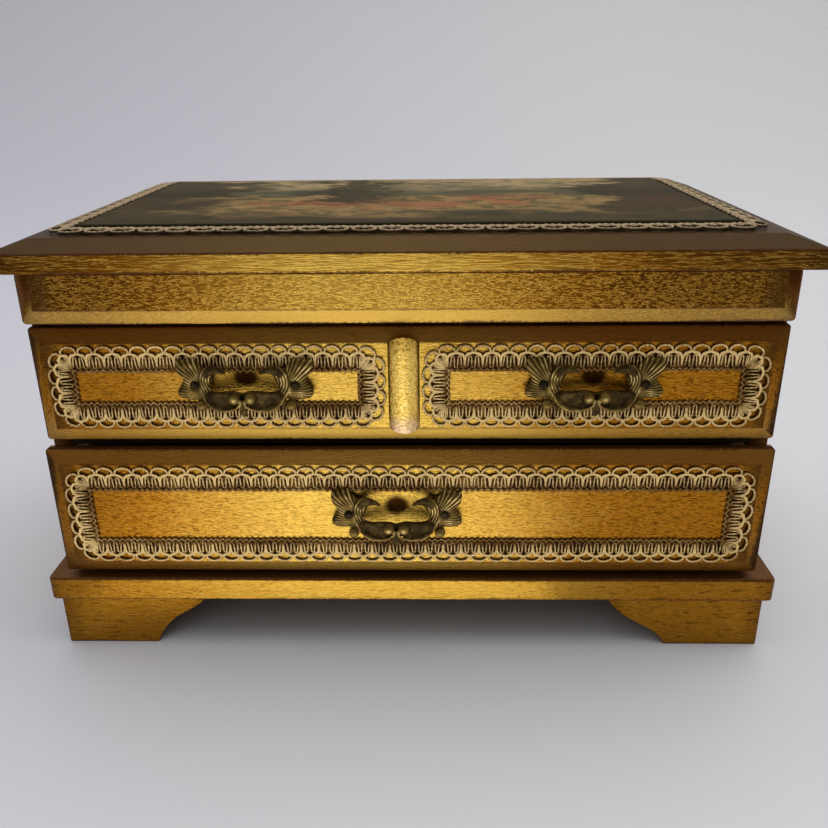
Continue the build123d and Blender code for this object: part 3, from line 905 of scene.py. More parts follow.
class Shape:
    """A piece in the making: a bmesh in millimetres, shaped by operators."""

    def __init__(self) -> None:
        """Starts with an empty mesh."""
        self.bm = bmesh.new()

    def block(self, low: Vector, high: Vector) -> None:
        """Adds a box between two corners.

        Args:
            low: Its lowest corner.
            high: Its highest corner.
        """
        made = bmesh.ops.create_cube(self.bm, size=1.0)["verts"]
        bmesh.ops.scale(self.bm, vec=high - low, verts=made)
        bmesh.ops.translate(self.bm, vec=(low + high) / 2, verts=made)

    def ball(self, centre: Vector, radii: Vector, finer: int) -> None:
        """Adds an ellipsoid.

        Args:
            centre: Its middle.
            radii: Its half axes.
            finer: The subdivisions of its surface.
        """
        made = bmesh.ops.create_icosphere(self.bm, subdivisions=finer, radius=1.0)["verts"]
        bmesh.ops.scale(self.bm, vec=radii, verts=made)
        bmesh.ops.translate(self.bm, vec=centre, verts=made)

    def solid_copy(self, node: bpy.types.Object) -> None:
        """Takes in a copy of a solid's mesh, merged and with its flat faces made whole.

        Args:
            node: The solid.
        """
        self.bm.from_mesh(node.data)
        bmesh.ops.scale(self.bm, vec=(1 / MM,) * 3, verts=self.bm.verts)
        bmesh.ops.remove_doubles(self.bm, verts=self.bm.verts, dist=0.002)
        self.merge_flats(0.6)

    def merge_flats(self, degrees: float) -> None:
        """Makes one face of those that meet at less than that angle."""
        limit = math.radians(degrees)
        bmesh.ops.dissolve_limit(self.bm, angle_limit=limit, verts=self.bm.verts, edges=self.bm.edges)

    def relax(self) -> None:
        """Smooths the surface once and works out its normals."""
        bmesh.ops.smooth_vert(
            self.bm, verts=self.bm.verts, factor=0.5, use_axis_x=True, use_axis_y=True, use_axis_z=True
        )
        self.bm.normal_update()

    def add_mesh(self, mesh: bpy.types.Mesh) -> None:
        """Takes in a mesh that is already in millimetres, and drops the original."""
        self.bm.from_mesh(mesh)
        bpy.data.meshes.remove(mesh)

    def edges_at(self, axis: Axis, level: float) -> list[bmesh.types.BMEdge]:
        """Picks the edges that lie at one level of an axis."""
        i = axis.value
        return [edge for edge in self.bm.edges if all(abs(vert.co[i] - level) < NEAR for vert in edge.verts)]

    def edges_along(self, axis: Axis, length: float) -> list[bmesh.types.BMEdge]:
        """Picks the edges that run further than that length along an axis."""
        i = axis.value
        return [edge for edge in self.bm.edges if abs(edge.verts[0].co[i] - edge.verts[1].co[i]) > length]

    def sharp_edges(self, degrees: float) -> list[bmesh.types.BMEdge]:
        """Picks the edges whose faces meet at more than that angle."""
        limit = math.radians(degrees)
        return [edge for edge in self.bm.edges if edge.is_manifold and edge.calc_face_angle(0.0) > limit]

    def bevel(self, edges: Iterable[bmesh.types.BMEdge], width: float, segments: int = 3) -> None:
        """Rounds edges.

        Args:
            edges: The edges to round.
            width: The width that is taken off, in millimetres.
            segments: The number of facets of the rounding.
        """
        bmesh.ops.bevel(
            self.bm,
            geom=list(edges),
            offset=width,
            offset_type="OFFSET",
            segments=segments,
            profile=0.5,
            affect="EDGES",
            material=-1,
            clamp_overlap=True,
        )

    def mesh(self, name: str) -> bpy.types.Mesh:
        """Gives the shape as a mesh in metres, smooth shaded, and frees the bmesh.

        Args:
            name: The mesh's name.

        Returns:
            The mesh.
        """
        bmesh.ops.scale(self.bm, vec=(MM,) * 3, verts=self.bm.verts)
        made = bpy.data.meshes.new(name)
        self.bm.to_mesh(made)
        self.bm.free()
        made.polygons.foreach_set("use_smooth", [True] * len(made.polygons))
        return made


@dataclass
class Workshop:
    """Places finished pieces on their bodies, and dresses the solids that stay."""

    frame: dict[str, object]
    weld: float = 1e-6
    soft_angle: float = 35.0
    soft_segments: int = 2

    def solid(self, node: str) -> bpy.types.Object:
        """Gives a solid's object."""
        return self.frame["nodes"][node]

    def place(
        self,
        shape: Shape,
        name: str,
        material: bpy.types.Material,
        body: Body,
        slot: Slot,
        node: str,
        weighted: bool = True,
    ) -> bpy.types.Object:
        """Makes a piece of a finished shape.

        Args:
            shape: The shape, in place.
            name: The piece's name.
            material: Its finish.
            body: The body that it moves with.
            slot: The record's slot for its finish; not used.
            node: The solid that it stands for.
            weighted: Whether its flat faces keep flat shading beside rounded edges.

        Returns:
            The piece.
        """
        mesh = shape.mesh(name)
        mesh.materials.append(material)
        piece = bpy.data.objects.new(name, mesh)
        bpy.context.scene.collection.objects.link(piece)
        if weighted:
            piece.modifiers.new("flat_faces", "WEIGHTED_NORMAL")
        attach(piece, body.value)
        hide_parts(node)
        log.info("%s: %d faces on %s", name, len(mesh.polygons), body.value)
        return piece

    def dress(self, node: str, material: bpy.types.Material, soften: float = 0.0) -> None:
        """Gives a solid that stays its finish.

        Args:
            node: The solid's name.
            material: Its finish.
            soften: The width of its softened edges in millimetres, or 0 for none.
        """
        piece = self.solid(node)
        piece.data.materials.clear()
        piece.data.materials.append(material)
        if soften:
            weld = piece.modifiers.new("weld", "WELD")
            weld.merge_threshold = self.weld
            bevel = piece.modifiers.new("soft_edges", "BEVEL")
            bevel.width = soften * MM
            bevel.segments = self.soft_segments
            bevel.limit_method = "ANGLE"
            bevel.angle_limit = math.radians(self.soft_angle)
            piece.modifiers.new("flat_faces", "WEIGHTED_NORMAL")
        log.info("%s: dressed", node)


def curve_between(stations: Sequence[Station], steps: int) -> list[Station]:
    """Walks a smooth line through stations of place and size.

    Args:
        stations: The stations, each a point and a radius.
        steps: The number of parts between two stations.

    Returns:
        The stations of the smooth line.
    """
    walked = []
    padded = [stations[0], *stations, stations[-1]]
    for index in range(1, len(padded) - 2):
        before, start, end, after = padded[index - 1 : index + 3]
        for step in range(steps):
            t = step / steps
            point = tuple(
                0.5
                * (
                    2 * b
                    + (c - a) * t
                    + (2 * a - 5 * b + 4 * c - d) * t * t
                    + (3 * b - a - 3 * c + d) * t * t * t
                )
                for a, b, c, d in zip(before, start, end, after)
            )
            walked.append(point)
    walked.append(tuple(stations[-1]))
    return walked


def voxel_solid(shape: Shape, voxel: float) -> Shape:
    """Melts a shape's parts into one casting.

    Args:
        shape: The overlapping parts, in millimetres.
        voxel: The size of the remesh in millimetres.

    Returns:
        A new shape of one skin.
    """
    mesh = bpy.data.meshes.new("casting_parts")
    shape.bm.to_mesh(mesh)
    shape.bm.free()
    holder = bpy.data.objects.new("casting_parts", mesh)
    bpy.context.scene.collection.objects.link(holder)
    remesh = holder.modifiers.new("melt", "REMESH")
    remesh.mode = "VOXEL"
    remesh.voxel_size = voxel
    graph = bpy.context.evaluated_depsgraph_get()
    melted = bpy.data.meshes.new_from_object(holder.evaluated_get(graph))
    bpy.data.objects.remove(holder)
    bpy.data.meshes.remove(mesh)
    made = Shape()
    made.add_mesh(melted)
    return made


@dataclass(frozen=True)
class RoundedPath:
    """A rectangle with rounded corners, walked once round."""

    width: float
    height: float
    radius: float

    @property
    def length(self) -> float:
        """The way once round."""
        return 2 * (self.width + self.height) - (8 - 2 * math.pi) * self.radius

    def at(self, distance: float) -> tuple[Vector, Vector]:
        """Gives a place on the path.

        Args:
            distance: The way walked from the start of the lower side.

        Returns:
            The place and its outward direction.
        """
        left = distance % self.length
        reach = (self.width / 2 - self.radius, self.height / 2 - self.radius)
        arc = math.pi / 2 * self.radius
        for turn, (sign_u, sign_v) in enumerate(((1, -1), (1, 1), (-1, 1), (-1, -1))):
            angle = math.pi / 2 * (turn - 1)
            outward = Vector((math.cos(angle), math.sin(angle)))
            along = Vector((-outward.y, outward.x))
            centre = Vector((sign_u * reach[0], sign_v * reach[1]))
            straight = 2 * reach[turn % 2]
            if left <= straight:
                return centre + outward * self.radius - along * (straight - left), outward
            left -= straight
            if left <= arc:
                angle += left / self.radius
                outward = Vector((math.cos(angle), math.sin(angle)))
                return centre + outward * self.radius, outward
            left -= arc
        return centre + outward * self.radius, outward


@dataclass(frozen=True)
class Strand:
    """One cord of a braid's repeat: its points give the place in pitches, the way out and the lift."""

    points: CordPoints
    radius: float
    looped: bool = False


def ring(middle: float, out: float, half: float, tall: float, lift: float, count: int = 12) -> CordPoints:
    """Draws a loop for a strand.

    Args:
        middle: Its middle along the pitch, in pitches.
        out: Its middle across the braid.
        half: Half its width, in pitches.
        tall: Half its height.
        lift: Its height above the ground.
        count: The number of its points.

    Returns:
        The loop's points.
    """
    angles = [math.tau * step / count for step in range(count)]
    return tuple((middle + half * math.cos(a), out + tall * math.sin(a), lift) for a in angles)


def zigzag(middle: float, swing: float, count: int, lift: float) -> CordPoints:
    """Draws a fine zigzag over one pitch.

    Args:
        middle: Its middle across the braid.
        swing: Half its swing.
        count: The zigzags in a pitch.
        lift: Its height above the ground.

    Returns:
        The zigzag's points.
    """
    turns = 2 * count
    return tuple(((step + 0.5) / turns - 0.5, middle + swing * (-1) ** step, lift) for step in range(turns))


def scallop(out: float, half: float, tall: float, front: float, back: float) -> CordPoints:
    """Draws a loop that leans up against the braid behind it.

    Args:
        out: Its middle across the braid.
        half: Half its width, in pitches.
        tall: Half its height.
        front: The height of its outer side above the ground.
        back: The height of its inner side.

    Returns:
        The loop's points.
    """
    mid, lean = (front + back) / 2, (back - front) / (2 * tall)
    level = ring(0.0, out, half, tall, mid)
    return tuple((along, reach, mid - (reach - out) * lean) for along, reach, _ in level)


DRAWER_BRAID = (
    Strand(ring(0.5, 7.7, 0.44, 1.75, 0.60), 0.48, looped=True),
    Strand(
        (
            (-0.5, 1.9, 0.35),
            (-0.48, 3.0, 0.60),
            (-0.47, 5.2, 0.75),
            (-0.37, 6.7, 0.90),
            (0.0, 7.25, 0.95),
            (0.37, 6.7, 0.90),
            (0.47, 5.2, 0.75),
            (0.48, 3.0, 0.60),
        ),
        0.40,
    ),
    Strand(
        (
            (-0.5, 2.0, 0.30),
            (-0.33, 2.0, 0.60),
            (-0.28, 4.2, 0.80),
            (-0.27, 5.7, 0.80),
            (-0.11, 5.9, 0.70),
            (-0.10, 4.2, 0.80),
            (-0.08, 2.0, 0.60),
            (0.08, 2.0, 0.60),
            (0.10, 4.2, 0.80),
            (0.11, 5.9, 0.70),
            (0.27, 5.7, 0.80),
            (0.28, 4.2, 0.80),
            (0.33, 2.4, 0.60),
            (0.42, 2.0, 0.40),
        ),
        0.29,
    ),
    Strand(zigzag(1.0, 0.55, 3, 0.46), 0.42),
)
LID_BRAID = (
    Strand(scallop(6.2, 0.44, 2.3, 1.0, 1.55), 0.52, looped=True),
    Strand(((-0.5, 4.6, 1.50), (-0.25, 3.6, 1.15), (0.0, 2.6, 1.45), (0.25, 3.6, 1.15)), 0.50),
    Strand(((-0.5, 2.6, 1.15), (-0.25, 3.6, 1.60), (0.0, 4.6, 1.15), (0.25, 3.6, 1.60)), 0.50),
    Strand(zigzag(1.1, 0.6, 3, 0.7), 0.48),
)


@dataclass
class Braid:
    """A frame of cord braid, laid flat round a bare middle: its pitch is true along its outer loops."""

    node: str
    body: Body
    strands: tuple[Strand, ...]
    pitch: float
    flat: bool = False
    pitch_out: float = 7.75
    corner: float = 6.6
    shake: float = 0.05
    spread: float = 3.0
    meeting: float = 0.45
    ground_span: Span = (0.4, 6.9)
    ground_lift: float = 0.16
    ground_parts: int = 6
    crown: float = 1.25
    trim: float = 0.0
    beaded: float = 0.12
    seed: int = 1
    lines: BoardLines = field(init=False)
    path: RoundedPath = field(init=False)
    count: int = field(init=False)
    shakes: list[Span] = field(init=False)

    def build(self, shop: Workshop, finish: BraidFinish) -> None:
        """Lays the braid and dresses it.

        Args:
            shop: Where the piece is placed.
            finish: The cord's finish.
        """
        self.lines = BoardLines.of(self.node)
        size = self.lines.high - self.lines.low
        tall = size.y if self.flat else size.z
        margin = 2 * (self.outer_reach() - self.pitch_out + self.trim)
        self.path = RoundedPath(size.x - margin, tall - margin, self.corner)
        self.count = round(self.path.length / self.pitch)
        wobble = random.Random(self.seed)
        self.shakes = [(wobble.uniform(-1, 1), wobble.uniform(-1, 1)) for _ in range(self.count)]
        shape = Shape()
        shape.add_mesh(self.cords())
        bmesh.ops.recalc_face_normals(shape.bm, faces=shape.bm.faces)
        self.lay_ground(shape)
        axis, ground = (Axis.Z, self.lines.low.z) if self.flat else (Axis.Y, self.lines.high.y)
        rise = self.crown if self.flat else -self.crown
        material = finish.material(self.node + "_cord", axis, ground, rise)
        name = self.node + "_braid"
        shop.place(shape, name, material, self.body, Slot.LACE, self.node, weighted=False)

    def cords(self) -> bpy.types.Mesh:
        """Gives all the cords as one mesh of round tubes.

        Returns:
            The mesh, in millimetres.
        """
        curve = bpy.data.curves.new(self.node + "_cords", "CURVE")
        curve.dimensions = "3D"
        curve.bevel_depth = 1.0
        curve.bevel_resolution = 1
        for strand in self.strands:
            cells = [
                [self.spot(cell, *point, steady=abs(point[0]) > self.meeting) for point in strand.points]
                for cell in range(self.count)
            ]
            runs = cells if strand.looped else [[point for cell in cells for point in cell]]
            for run in runs:
                self.lay(curve, run, strand.radius)
        holder = bpy.data.objects.new(curve.name, curve)
        bpy.context.scene.collection.objects.link(holder)
        graph = bpy.context.evaluated_depsgraph_get()
        made = bpy.data.meshes.new_from_object(holder.evaluated_get(graph))
        bpy.data.objects.remove(holder)
        bpy.data.curves.remove(curve)
        return made

    def lay_ground(self, shape: Shape) -> None:
        """Adds the thin stuff that backs the cords.

        Args:
            shape: The braid.
        """
        parts = self.ground_parts * self.count
        strip = bmesh.ops.create_grid(shape.bm, x_segments=parts, y_segments=1, size=0.5)["verts"]
        for vert in strip:
            along = (vert.co.x + 0.5) * self.count
            vert.co = self.spot(0, along, self.ground_span[vert.co.y > 0], self.ground_lift, steady=True)
        bmesh.ops.remove_doubles(shape.bm, verts=strip, dist=0.01)

    def outer_reach(self) -> float:
        """Gives how far the outermost cord reaches from the braid's inner edge."""
        return max(point[1] + strand.radius for strand in self.strands for point in strand.points)

    def spot(self, cell: int, along: float, out: float, lift: float, steady: bool = False) -> Vector:
        """Gives the place of one point of a repeat.

        Args:
            cell: The repeat's number.
            along: The way along the repeat, in pitches.
            out: The way out from the braid's inner edge.
            lift: The height above the ground.
            steady: Whether the point keeps to the pattern, so that repeats meet.

        Returns:
            The place in millimetres.
        """
        stray, spread = (0.0, 0.0) if steady else self.shakes[cell]
        step = self.path.length / self.count
        place, outward = self.path.at((cell + along + stray * self.shake) * step)
        u, v = place + outward * (out - self.pitch_out + spread * self.shake * self.spread)
        mid = self.lines.mid
        if self.flat:
            return Vector((mid.x + u, mid.y + v, self.lines.low.z + lift))
        return Vector((mid.x + u, self.lines.high.y - lift, mid.z + v))

    def lay(self, curve: bpy.types.Curve, run: Sequence[Vector], radius: float) -> None:
        """Adds one closed cord to a curve, swelling and shrinking like twisted yarn.

        Args:
            curve: The curve.
            run: The cord's points.
            radius: The cord's radius.
        """
        closed = [*run, run[0]]
        fine = [start.lerp(end, share) for start, end in zip(closed, closed[1:]) for share in (0.0, 0.5)]
        spline = curve.splines.new("NURBS")
        spline.points.add(len(fine) - 1)
        for step, (spot, point) in enumerate(zip(fine, spline.points)):
            point.co = (*spot, 1.0)
            point.radius = radius * (1.0 + self.beaded * (-1) ** step)
        spline.order_u = 3
        spline.resolution_u = 2
        spline.use_cyclic_u = True


@dataclass
class LeafPull:
    """A one-piece brass pull: a veined leaf and a ribbed scroll at each end, a hollow swag and two balls.

    Its tables give the left half: places across, up and out, and a radius.
    """

    leaf: tuple[Span, ...] = (
        (-22.3, 8.8),
        (-20.4, 8.9),
        (-18.0, 9.2),
        (-15.8, 8.9),
        (-14.8, 7.0),
        (-12.8, 5.4),
        (-11.6, 2.0),
        (-11.6, -2.4),
        (-12.8, -4.6),
        (-15.0, -5.2),
        (-17.8, -5.2),
        (-19.6, -5.0),
        (-21.6, -4.4),
        (-22.7, -3.2),
        (-22.6, -1.8),
        (-21.6, -0.2),
        (-20.6, 1.2),
        (-20.4, 2.4),
        (-21.4, 3.4),
        (-22.3, 4.8),
        (-22.7, 6.8),
    )
    scroll: tuple[Station, ...] = (
        (-13.0, -2.8, 1.4, 1.5),
        (-13.1, 0.4, 1.8, 2.2),
        (-12.5, 3.4, 2.3, 2.5),
        (-10.9, 5.5, 2.9, 1.95),
        (-8.4, 6.0, 3.5, 1.3),
        (-5.9, 5.2, 3.9, 0.65),
    )
    swag: tuple[Station, ...] = (
        (-13.0, -2.4, 1.7, 1.8),
        (-11.2, -3.9, 3.2, 2.7),
        (-8.6, -4.2, 4.8, 3.3),
        (-5.6, -3.9, 5.6, 3.5),
        (-2.8, -3.2, 5.9, 3.0),
        (0.0, -3.2, 5.8, 2.0),
    )
    rim: tuple[Station, ...] = (
        (-13.6, -2.8, 2.7, 0.36),
        (-12.2, -5.6, 4.0, 0.38),
        (-9.2, -7.4, 5.5, 0.40),
        (-5.6, -7.3, 6.6, 0.40),
        (-2.5, -6.2, 7.3, 0.38),
        (-1.1, -4.9, 7.6, 0.34),
        (-0.5, -3.3, 7.4, 0.28),
    )
    inner_rim: tuple[Station, ...] = (
        (-12.9, -2.4, 3.1, 0.32),
        (-11.2, -4.8, 4.7, 0.34),
        (-8.6, -6.2, 6.2, 0.34),
        (-5.6, -6.4, 7.0, 0.30),
    )
    drop_rim: tuple[Station, ...] = (
        (-0.25, -3.4, 7.3, 0.24),
        (-0.5, -4.9, 7.5, 0.26),
        (-0.9, -6.6, 7.3, 0.30),
        (-0.9, -8.0, 6.8, 0.30),
        (-0.2, -9.2, 6.2, 0.26),
    )
    drop: tuple[Station, ...] = (
        (0.0, -4.6, 6.7, 0.6),
        (0.0, -6.6, 6.5, 0.85),
        (0.0, -8.0, 6.1, 0.75),
        (0.0, -9.2, 5.9, 0.3),
    )
    ball: Station = (-2.65, -2.7, 6.6, 2.15)
    bud: Station = (-15.0, -6.9, 1.6, 1.95)
    bud_top: float = -5.4
    scroll_eye: Span = (-7.7, 1.8)
    scroll_ribs: float = 0.95
    scroll_reach: float = 7.4
    scroll_corner: Span = (-15.2, -3.0)
    nail_out: float = 16.65
    flat: float = 0.58
    back: float = 0.6
    leaf_end: float = -10.5
    leaf_height: float = 2.4
    leaf_thin: float = 1.0
    leaf_swell: float = 1.2
    leaf_edge: float = 1.1
    curl_span: Span = (17.0, 23.0)
    curl_rise: float = 0.8
    dish_depth: float = 0.75
    dish_spread: float = 2.4
    dimple_spread: float = 1.6
    vein_root: Span = (-12.6, -2.4)
    vein_angle: float = 7.0
    vein_depth: float = 0.30
    vein_span: Span = (1.5, 3.5)
    vein_top: float = 4.0
    hollow_depth: float = 1.5
    hollow_width: float = 0.85
    hollow_span: Span = (-13.0, -10.0)
    rub_top: float = 3.6
    rub_scale: float = 0.35
    lip_reach: float = 0.4
    voxel: float = 0.25

    def knob(self, shape: Shape, station: Station, side: int, flat: float = 1.0, finer: int = 3) -> None:
        """Adds one ball.

        Args:
            shape: The casting.
            station: The ball's station for the left half.
            side: 1 for the left half, -1 for its mirror image.
            flat: The ball's depth as a share of its height.
            finer: The subdivisions of its surface.
        """
        u, v, w, radius = station
        shape.ball(Vector((side * u, v, w)), Vector((radius, radius, radius * flat)), finer)

    def chain(self, shape: Shape, stations: Sequence[Station], side: int, flat: float = 1.0) -> None:
        """Adds a tapering limb as a row of close-set balls.

        Args:
            shape: The casting.
            stations: The limb's stations for the left half.
            side: 1 for the left half, -1 for its mirror image.
            flat: The limb's depth as a share of its height.
        """
        for station in curve_between(stations, 8):
            self.knob(shape, station, side, flat, 2)

    def leaf_plate(self) -> Shape:
        """Makes both leaves as a thick plate, swelling from thin edges.

        Returns:
            The plate.
        """
        plate = Shape()
        for side in (1, -1):
            verts = [plate.bm.verts.new((side * u, v, 0.0)) for u, v in self.leaf]
            face = plate.bm.faces.new(verts)
            made = bmesh.ops.extrude_face_region(plate.bm, geom=[face])["geom"]
            lifted = of_kind(made, bmesh.types.BMVert)
            bmesh.ops.translate(plate.bm, vec=(0, 0, self.leaf_height), verts=lifted)
        bmesh.ops.recalc_face_normals(plate.bm, faces=plate.bm.faces)
        plate = voxel_solid(plate, self.voxel)
        corners = [Vector(corner) for corner in self.leaf]
        sides = [(start, end - start) for start, end in zip(corners, corners[1:] + corners[:1])]
        for vert in plate.bm.verts:
            vert.co.z *= self.relief(abs(vert.co.x), vert.co.y, sides) / self.leaf_height
        return plate

    def relief(self, u: float, v: float, sides: Sequence[tuple[Vector, Vector]]) -> float:
        """Gives the leaf's height.

        Args:
            u: The place across, from the middle of the pull.
            v: The place up.
            sides: The sides of the left leaf's outline, each a start and a run.

        Returns:
            The height in millimetres.
        """
        spot = Vector((-u, v))
        gap = math.inf
        for start, run in sides:
            share = ramp((spot - start).dot(run), 0.0, run.length_squared)
            gap = min(gap, (spot - start - run * share).length)
        swell = 1.0 - math.exp(-gap / self.leaf_edge)
        curl = self.curl_rise * ramp(u, *self.curl_span)
        nail = math.exp(-(((u - self.nail_out) ** 2 + v**2) / self.dish_spread))
        return self.leaf_thin + self.leaf_swell * swell + curl - self.dish_depth * nail

    def sculpt(self) -> bpy.types.Mesh:
        """Casts the pull round the origin, in millimetres: across, up and out.

        Returns:
            The mesh, with its worn ridges and the balls' painted glints stored as an attribute.
        """
        body = self.leaf_plate()
        for side in (1, -1):
            self.chain(body, self.scroll, side, self.flat)
            self.chain(body, self.swag, side, self.flat)
            self.knob(body, self.bud, side)
        cast = voxel_solid(body, self.voxel)
        self.carve(cast)
        for side in (1, -1):
            for stations in (self.rim, self.inner_rim, self.drop_rim):
                self.chain(cast, stations, side)
            self.knob(cast, self.ball, side)
        self.chain(cast, self.drop, 1)
        cast = voxel_solid(cast, self.voxel)
        bm = cast.bm
        whole = [*bm.verts, *bm.edges, *bm.faces]
        bmesh.ops.bisect_plane(bm, geom=whole, plane_co=(0, 0, 0), plane_no=(0, 0, -1), clear_outer=True)
        bmesh.ops.holes_fill(bm, edges=[edge for edge in bm.edges if edge.is_boundary])
        cast.relax()
        ridge = bm.verts.layers.float.new("ridge")
        lips = curve_between(self.rim, 4)
        for vert in bm.verts:
            vert[ridge] = self.rubbed_and_glint(vert, lips)
        mesh = bpy.data.meshes.new("pull_casting")
        bm.to_mesh(mesh)
        bm.free()
        return mesh

    def carve(self, cast: Shape) -> None:
        """Cuts the veins, the scrolls' ribs and the swag's hollows into the casting.

        Args:
            cast: The casting.
        """
        cast.relax()
        depths = [self.cut(vert) for vert in cast.bm.verts]
        for vert, depth in zip(cast.bm.verts, depths):
            vert.co.z -= depth

    def lines_at(self, u: float, v: float) -> float:
        """Gives how near a place of the left half is to a vein or a rib, from 0 to 1.

        Args:
            u: The place across.
            v: The place up.

        Returns:
            1 on the crest of a vein or a rib, and 0 between two of them.
        """
        eye = math.hypot(u - self.scroll_eye[0], v - self.scroll_eye[1])
        if eye < self.scroll_reach and u > self.scroll_corner[0] and v > self.scroll_corner[1]:
            return 0.5 + 0.5 * math.cos(math.tau * eye / self.scroll_ribs)
        root = Vector((u - self.vein_root[0], v - self.vein_root[1]))
        turn = math.degrees(math.atan2(root.y, -root.x))
        fade = ramp(root.length, *self.vein_span)
        return 1.0 - fade * (0.5 - 0.5 * math.cos(math.tau * turn / self.vein_angle))

    def cut(self, vert: bmesh.types.BMVert) -> float:
        """Gives how deep the casting is cut at a vertex.

        Args:
            vert: The vertex.

        Returns:
            The depth in millimetres.
        """
        u, v, w = -abs(vert.co.x), vert.co.y, vert.co.z
        if w < self.back or vert.normal.z < 0.25 or self.on_bud(u, v):
            return 0.0
        if u < self.leaf_end and w < self.vein_top:
            dimple = math.exp(-(((u + self.nail_out) ** 2 + v**2) / self.dimple_spread))
            return self.vein_depth * (1.0 - self.lines_at(u, v)) * (1.0 - dimple)
        for (u0, v0, _, r0), (u1, v1, _, r1) in zip(self.swag, self.swag[1:]):
            if u0 <= u <= u1:
                share = (u - u0) / (u1 - u0)
                off = (v - v0 - (v1 - v0) * share) / (r0 + (r1 - r0) * share)
                near = ramp(u, *self.hollow_span)
                return self.hollow_depth * near * max(0.0, 1.0 - (off / self.hollow_width) ** 2)
        return 0.0

    def on_bud(self, u: float, v: float) -> bool:
        """Tells whether a place of the left half lies on the bud."""
        return math.hypot(u - self.bud[0], v - self.bud[1]) < self.bud[3] and v < self.bud_top

    def rubbed_and_glint(self, vert: bmesh.types.BMVert, lips: Sequence[Station]) -> float:
        """Gives how bright a vertex is worn, with a painted glint on the front of each ball.

        Args:
            vert: The vertex.
            lips: The stations of the left half's rim.

        Returns:
            The wear and the painted glint, from 0 to 1.
        """
        u, v, w = -abs(vert.co.x), vert.co.y, vert.co.z
        if w < self.back or vert.normal.z < 0.1:
            return 0.1
        if self.on_bud(u, v):
            return 0.45
        if u < self.leaf_end and w < self.rub_top:
            patch = 0.8 + 0.9 * noise.noise(vert.co * self.rub_scale)
            return 0.16 + 0.85 * patch * self.lines_at(u, v) ** 3
        for lip in lips:
            if abs(u - lip[0]) < self.lip_reach and abs(v - lip[1]) < self.lip_reach and w > lip[2]:
                return 0.62
        # Painted glint: each ball is brighter where it faces straight out.
        if math.hypot(u - self.ball[0], v - self.ball[1]) < self.ball[3]:
            return 0.22 + 0.6 * vert.normal.z**6
        return 0.15

    def build(self, shop: Workshop, nodes: Mapping[str, Body], finish: bpy.types.Material) -> None:
        """Casts the pulls and sets each on its seat.

        Args:
            shop: Where the pieces are placed.
            nodes: The pulls' solids and their bodies.
            finish: The brass.
        """
        casting = self.sculpt()
        upright = Matrix(((1, 0, 0), (0, 0, -1), (0, 1, 0)))
        for node, body in nodes.items():
            lines = BoardLines.of(node)
            nails = "pull_nails_upper" if body is Body.UPPER else "pull_nails_lower"
            shape = Shape()
            shape.bm.from_mesh(casting)
            bmesh.ops.rotate(shape.bm, matrix=upright, verts=shape.bm.verts)
            seat = Vector((lines.mid.x, lines.high.y, BoardLines.of(nails).mid.z))
            bmesh.ops.translate(shape.bm, vec=seat, verts=shape.bm.verts)
            name = node + "_casting"
            shop.place(shape, name, finish, body, Slot.PULL, node, weighted=False)
        bpy.data.meshes.remove(casting)


@dataclass
class FieldedFront:
    """A board with a raised field and mitred bevels, worn at its arrises."""

    node: str
    body: Body
    paint: GiltPaint
    corner: float = 1.2
    arris: float = 0.45
    field_arris: float = 0.3
    top_bevel: bool = True
    pulls: tuple[str, ...] = ()
    pull_reflection_rise: float = 1.8

    def build(self, shop: Workshop) -> None:
        """Shapes the board and dresses it.

        Args:
            shop: Where the pieces are placed.
        """
        lines = BoardLines.of(self.node)
        plane = lines.low.y + FIELD_RAISE
        low = Vector((lines.low.x, plane, lines.low.z))
        shape = Shape()
        shape.block(low, lines.high)
        front = [face for face in shape.bm.faces if face.normal.y < -0.9]
        bmesh.ops.inset_region(
            shape.bm, faces=front, thickness=FIELD_BEVEL, depth=FIELD_RAISE, use_even_offset=True
        )
        beyond = Vector()
        if not self.top_bevel:
            beyond.z = FIELD_BEVEL
            crest = [vert for vert in shape.bm.verts if vert.co.y < plane - 0.1 and vert.co.z > lines.mid.z]
            bmesh.ops.translate(shape.bm, vec=beyond, verts=crest)
            shape.merge_flats(1.0)
        shape.bevel(shape.edges_along(Axis.Y, FIELD_RAISE + 0.3), self.corner, 4)
        shape.bevel(shape.edges_at(Axis.Y, plane), self.arris)
        shape.bevel(shape.edges_at(Axis.Y, lines.low.y), self.field_arris, 2)
        name = self.node + "_board"
        block = BoardLines(low, lines.high + beyond, (FIELD_BEVEL, 0.0, FIELD_BEVEL))
        # Each pull gets a painted dark reflection on the field a little above its middle.
        rise = Vector((0, 0, self.pull_reflection_rise))
        pull_reflections = [BoardLines.of(pull).mid + rise for pull in self.pulls]
        material = self.paint.material(self.node + "_gilt", block, pull_reflections)
        shop.place(shape, name, material, self.body, Slot.GILT, self.node)


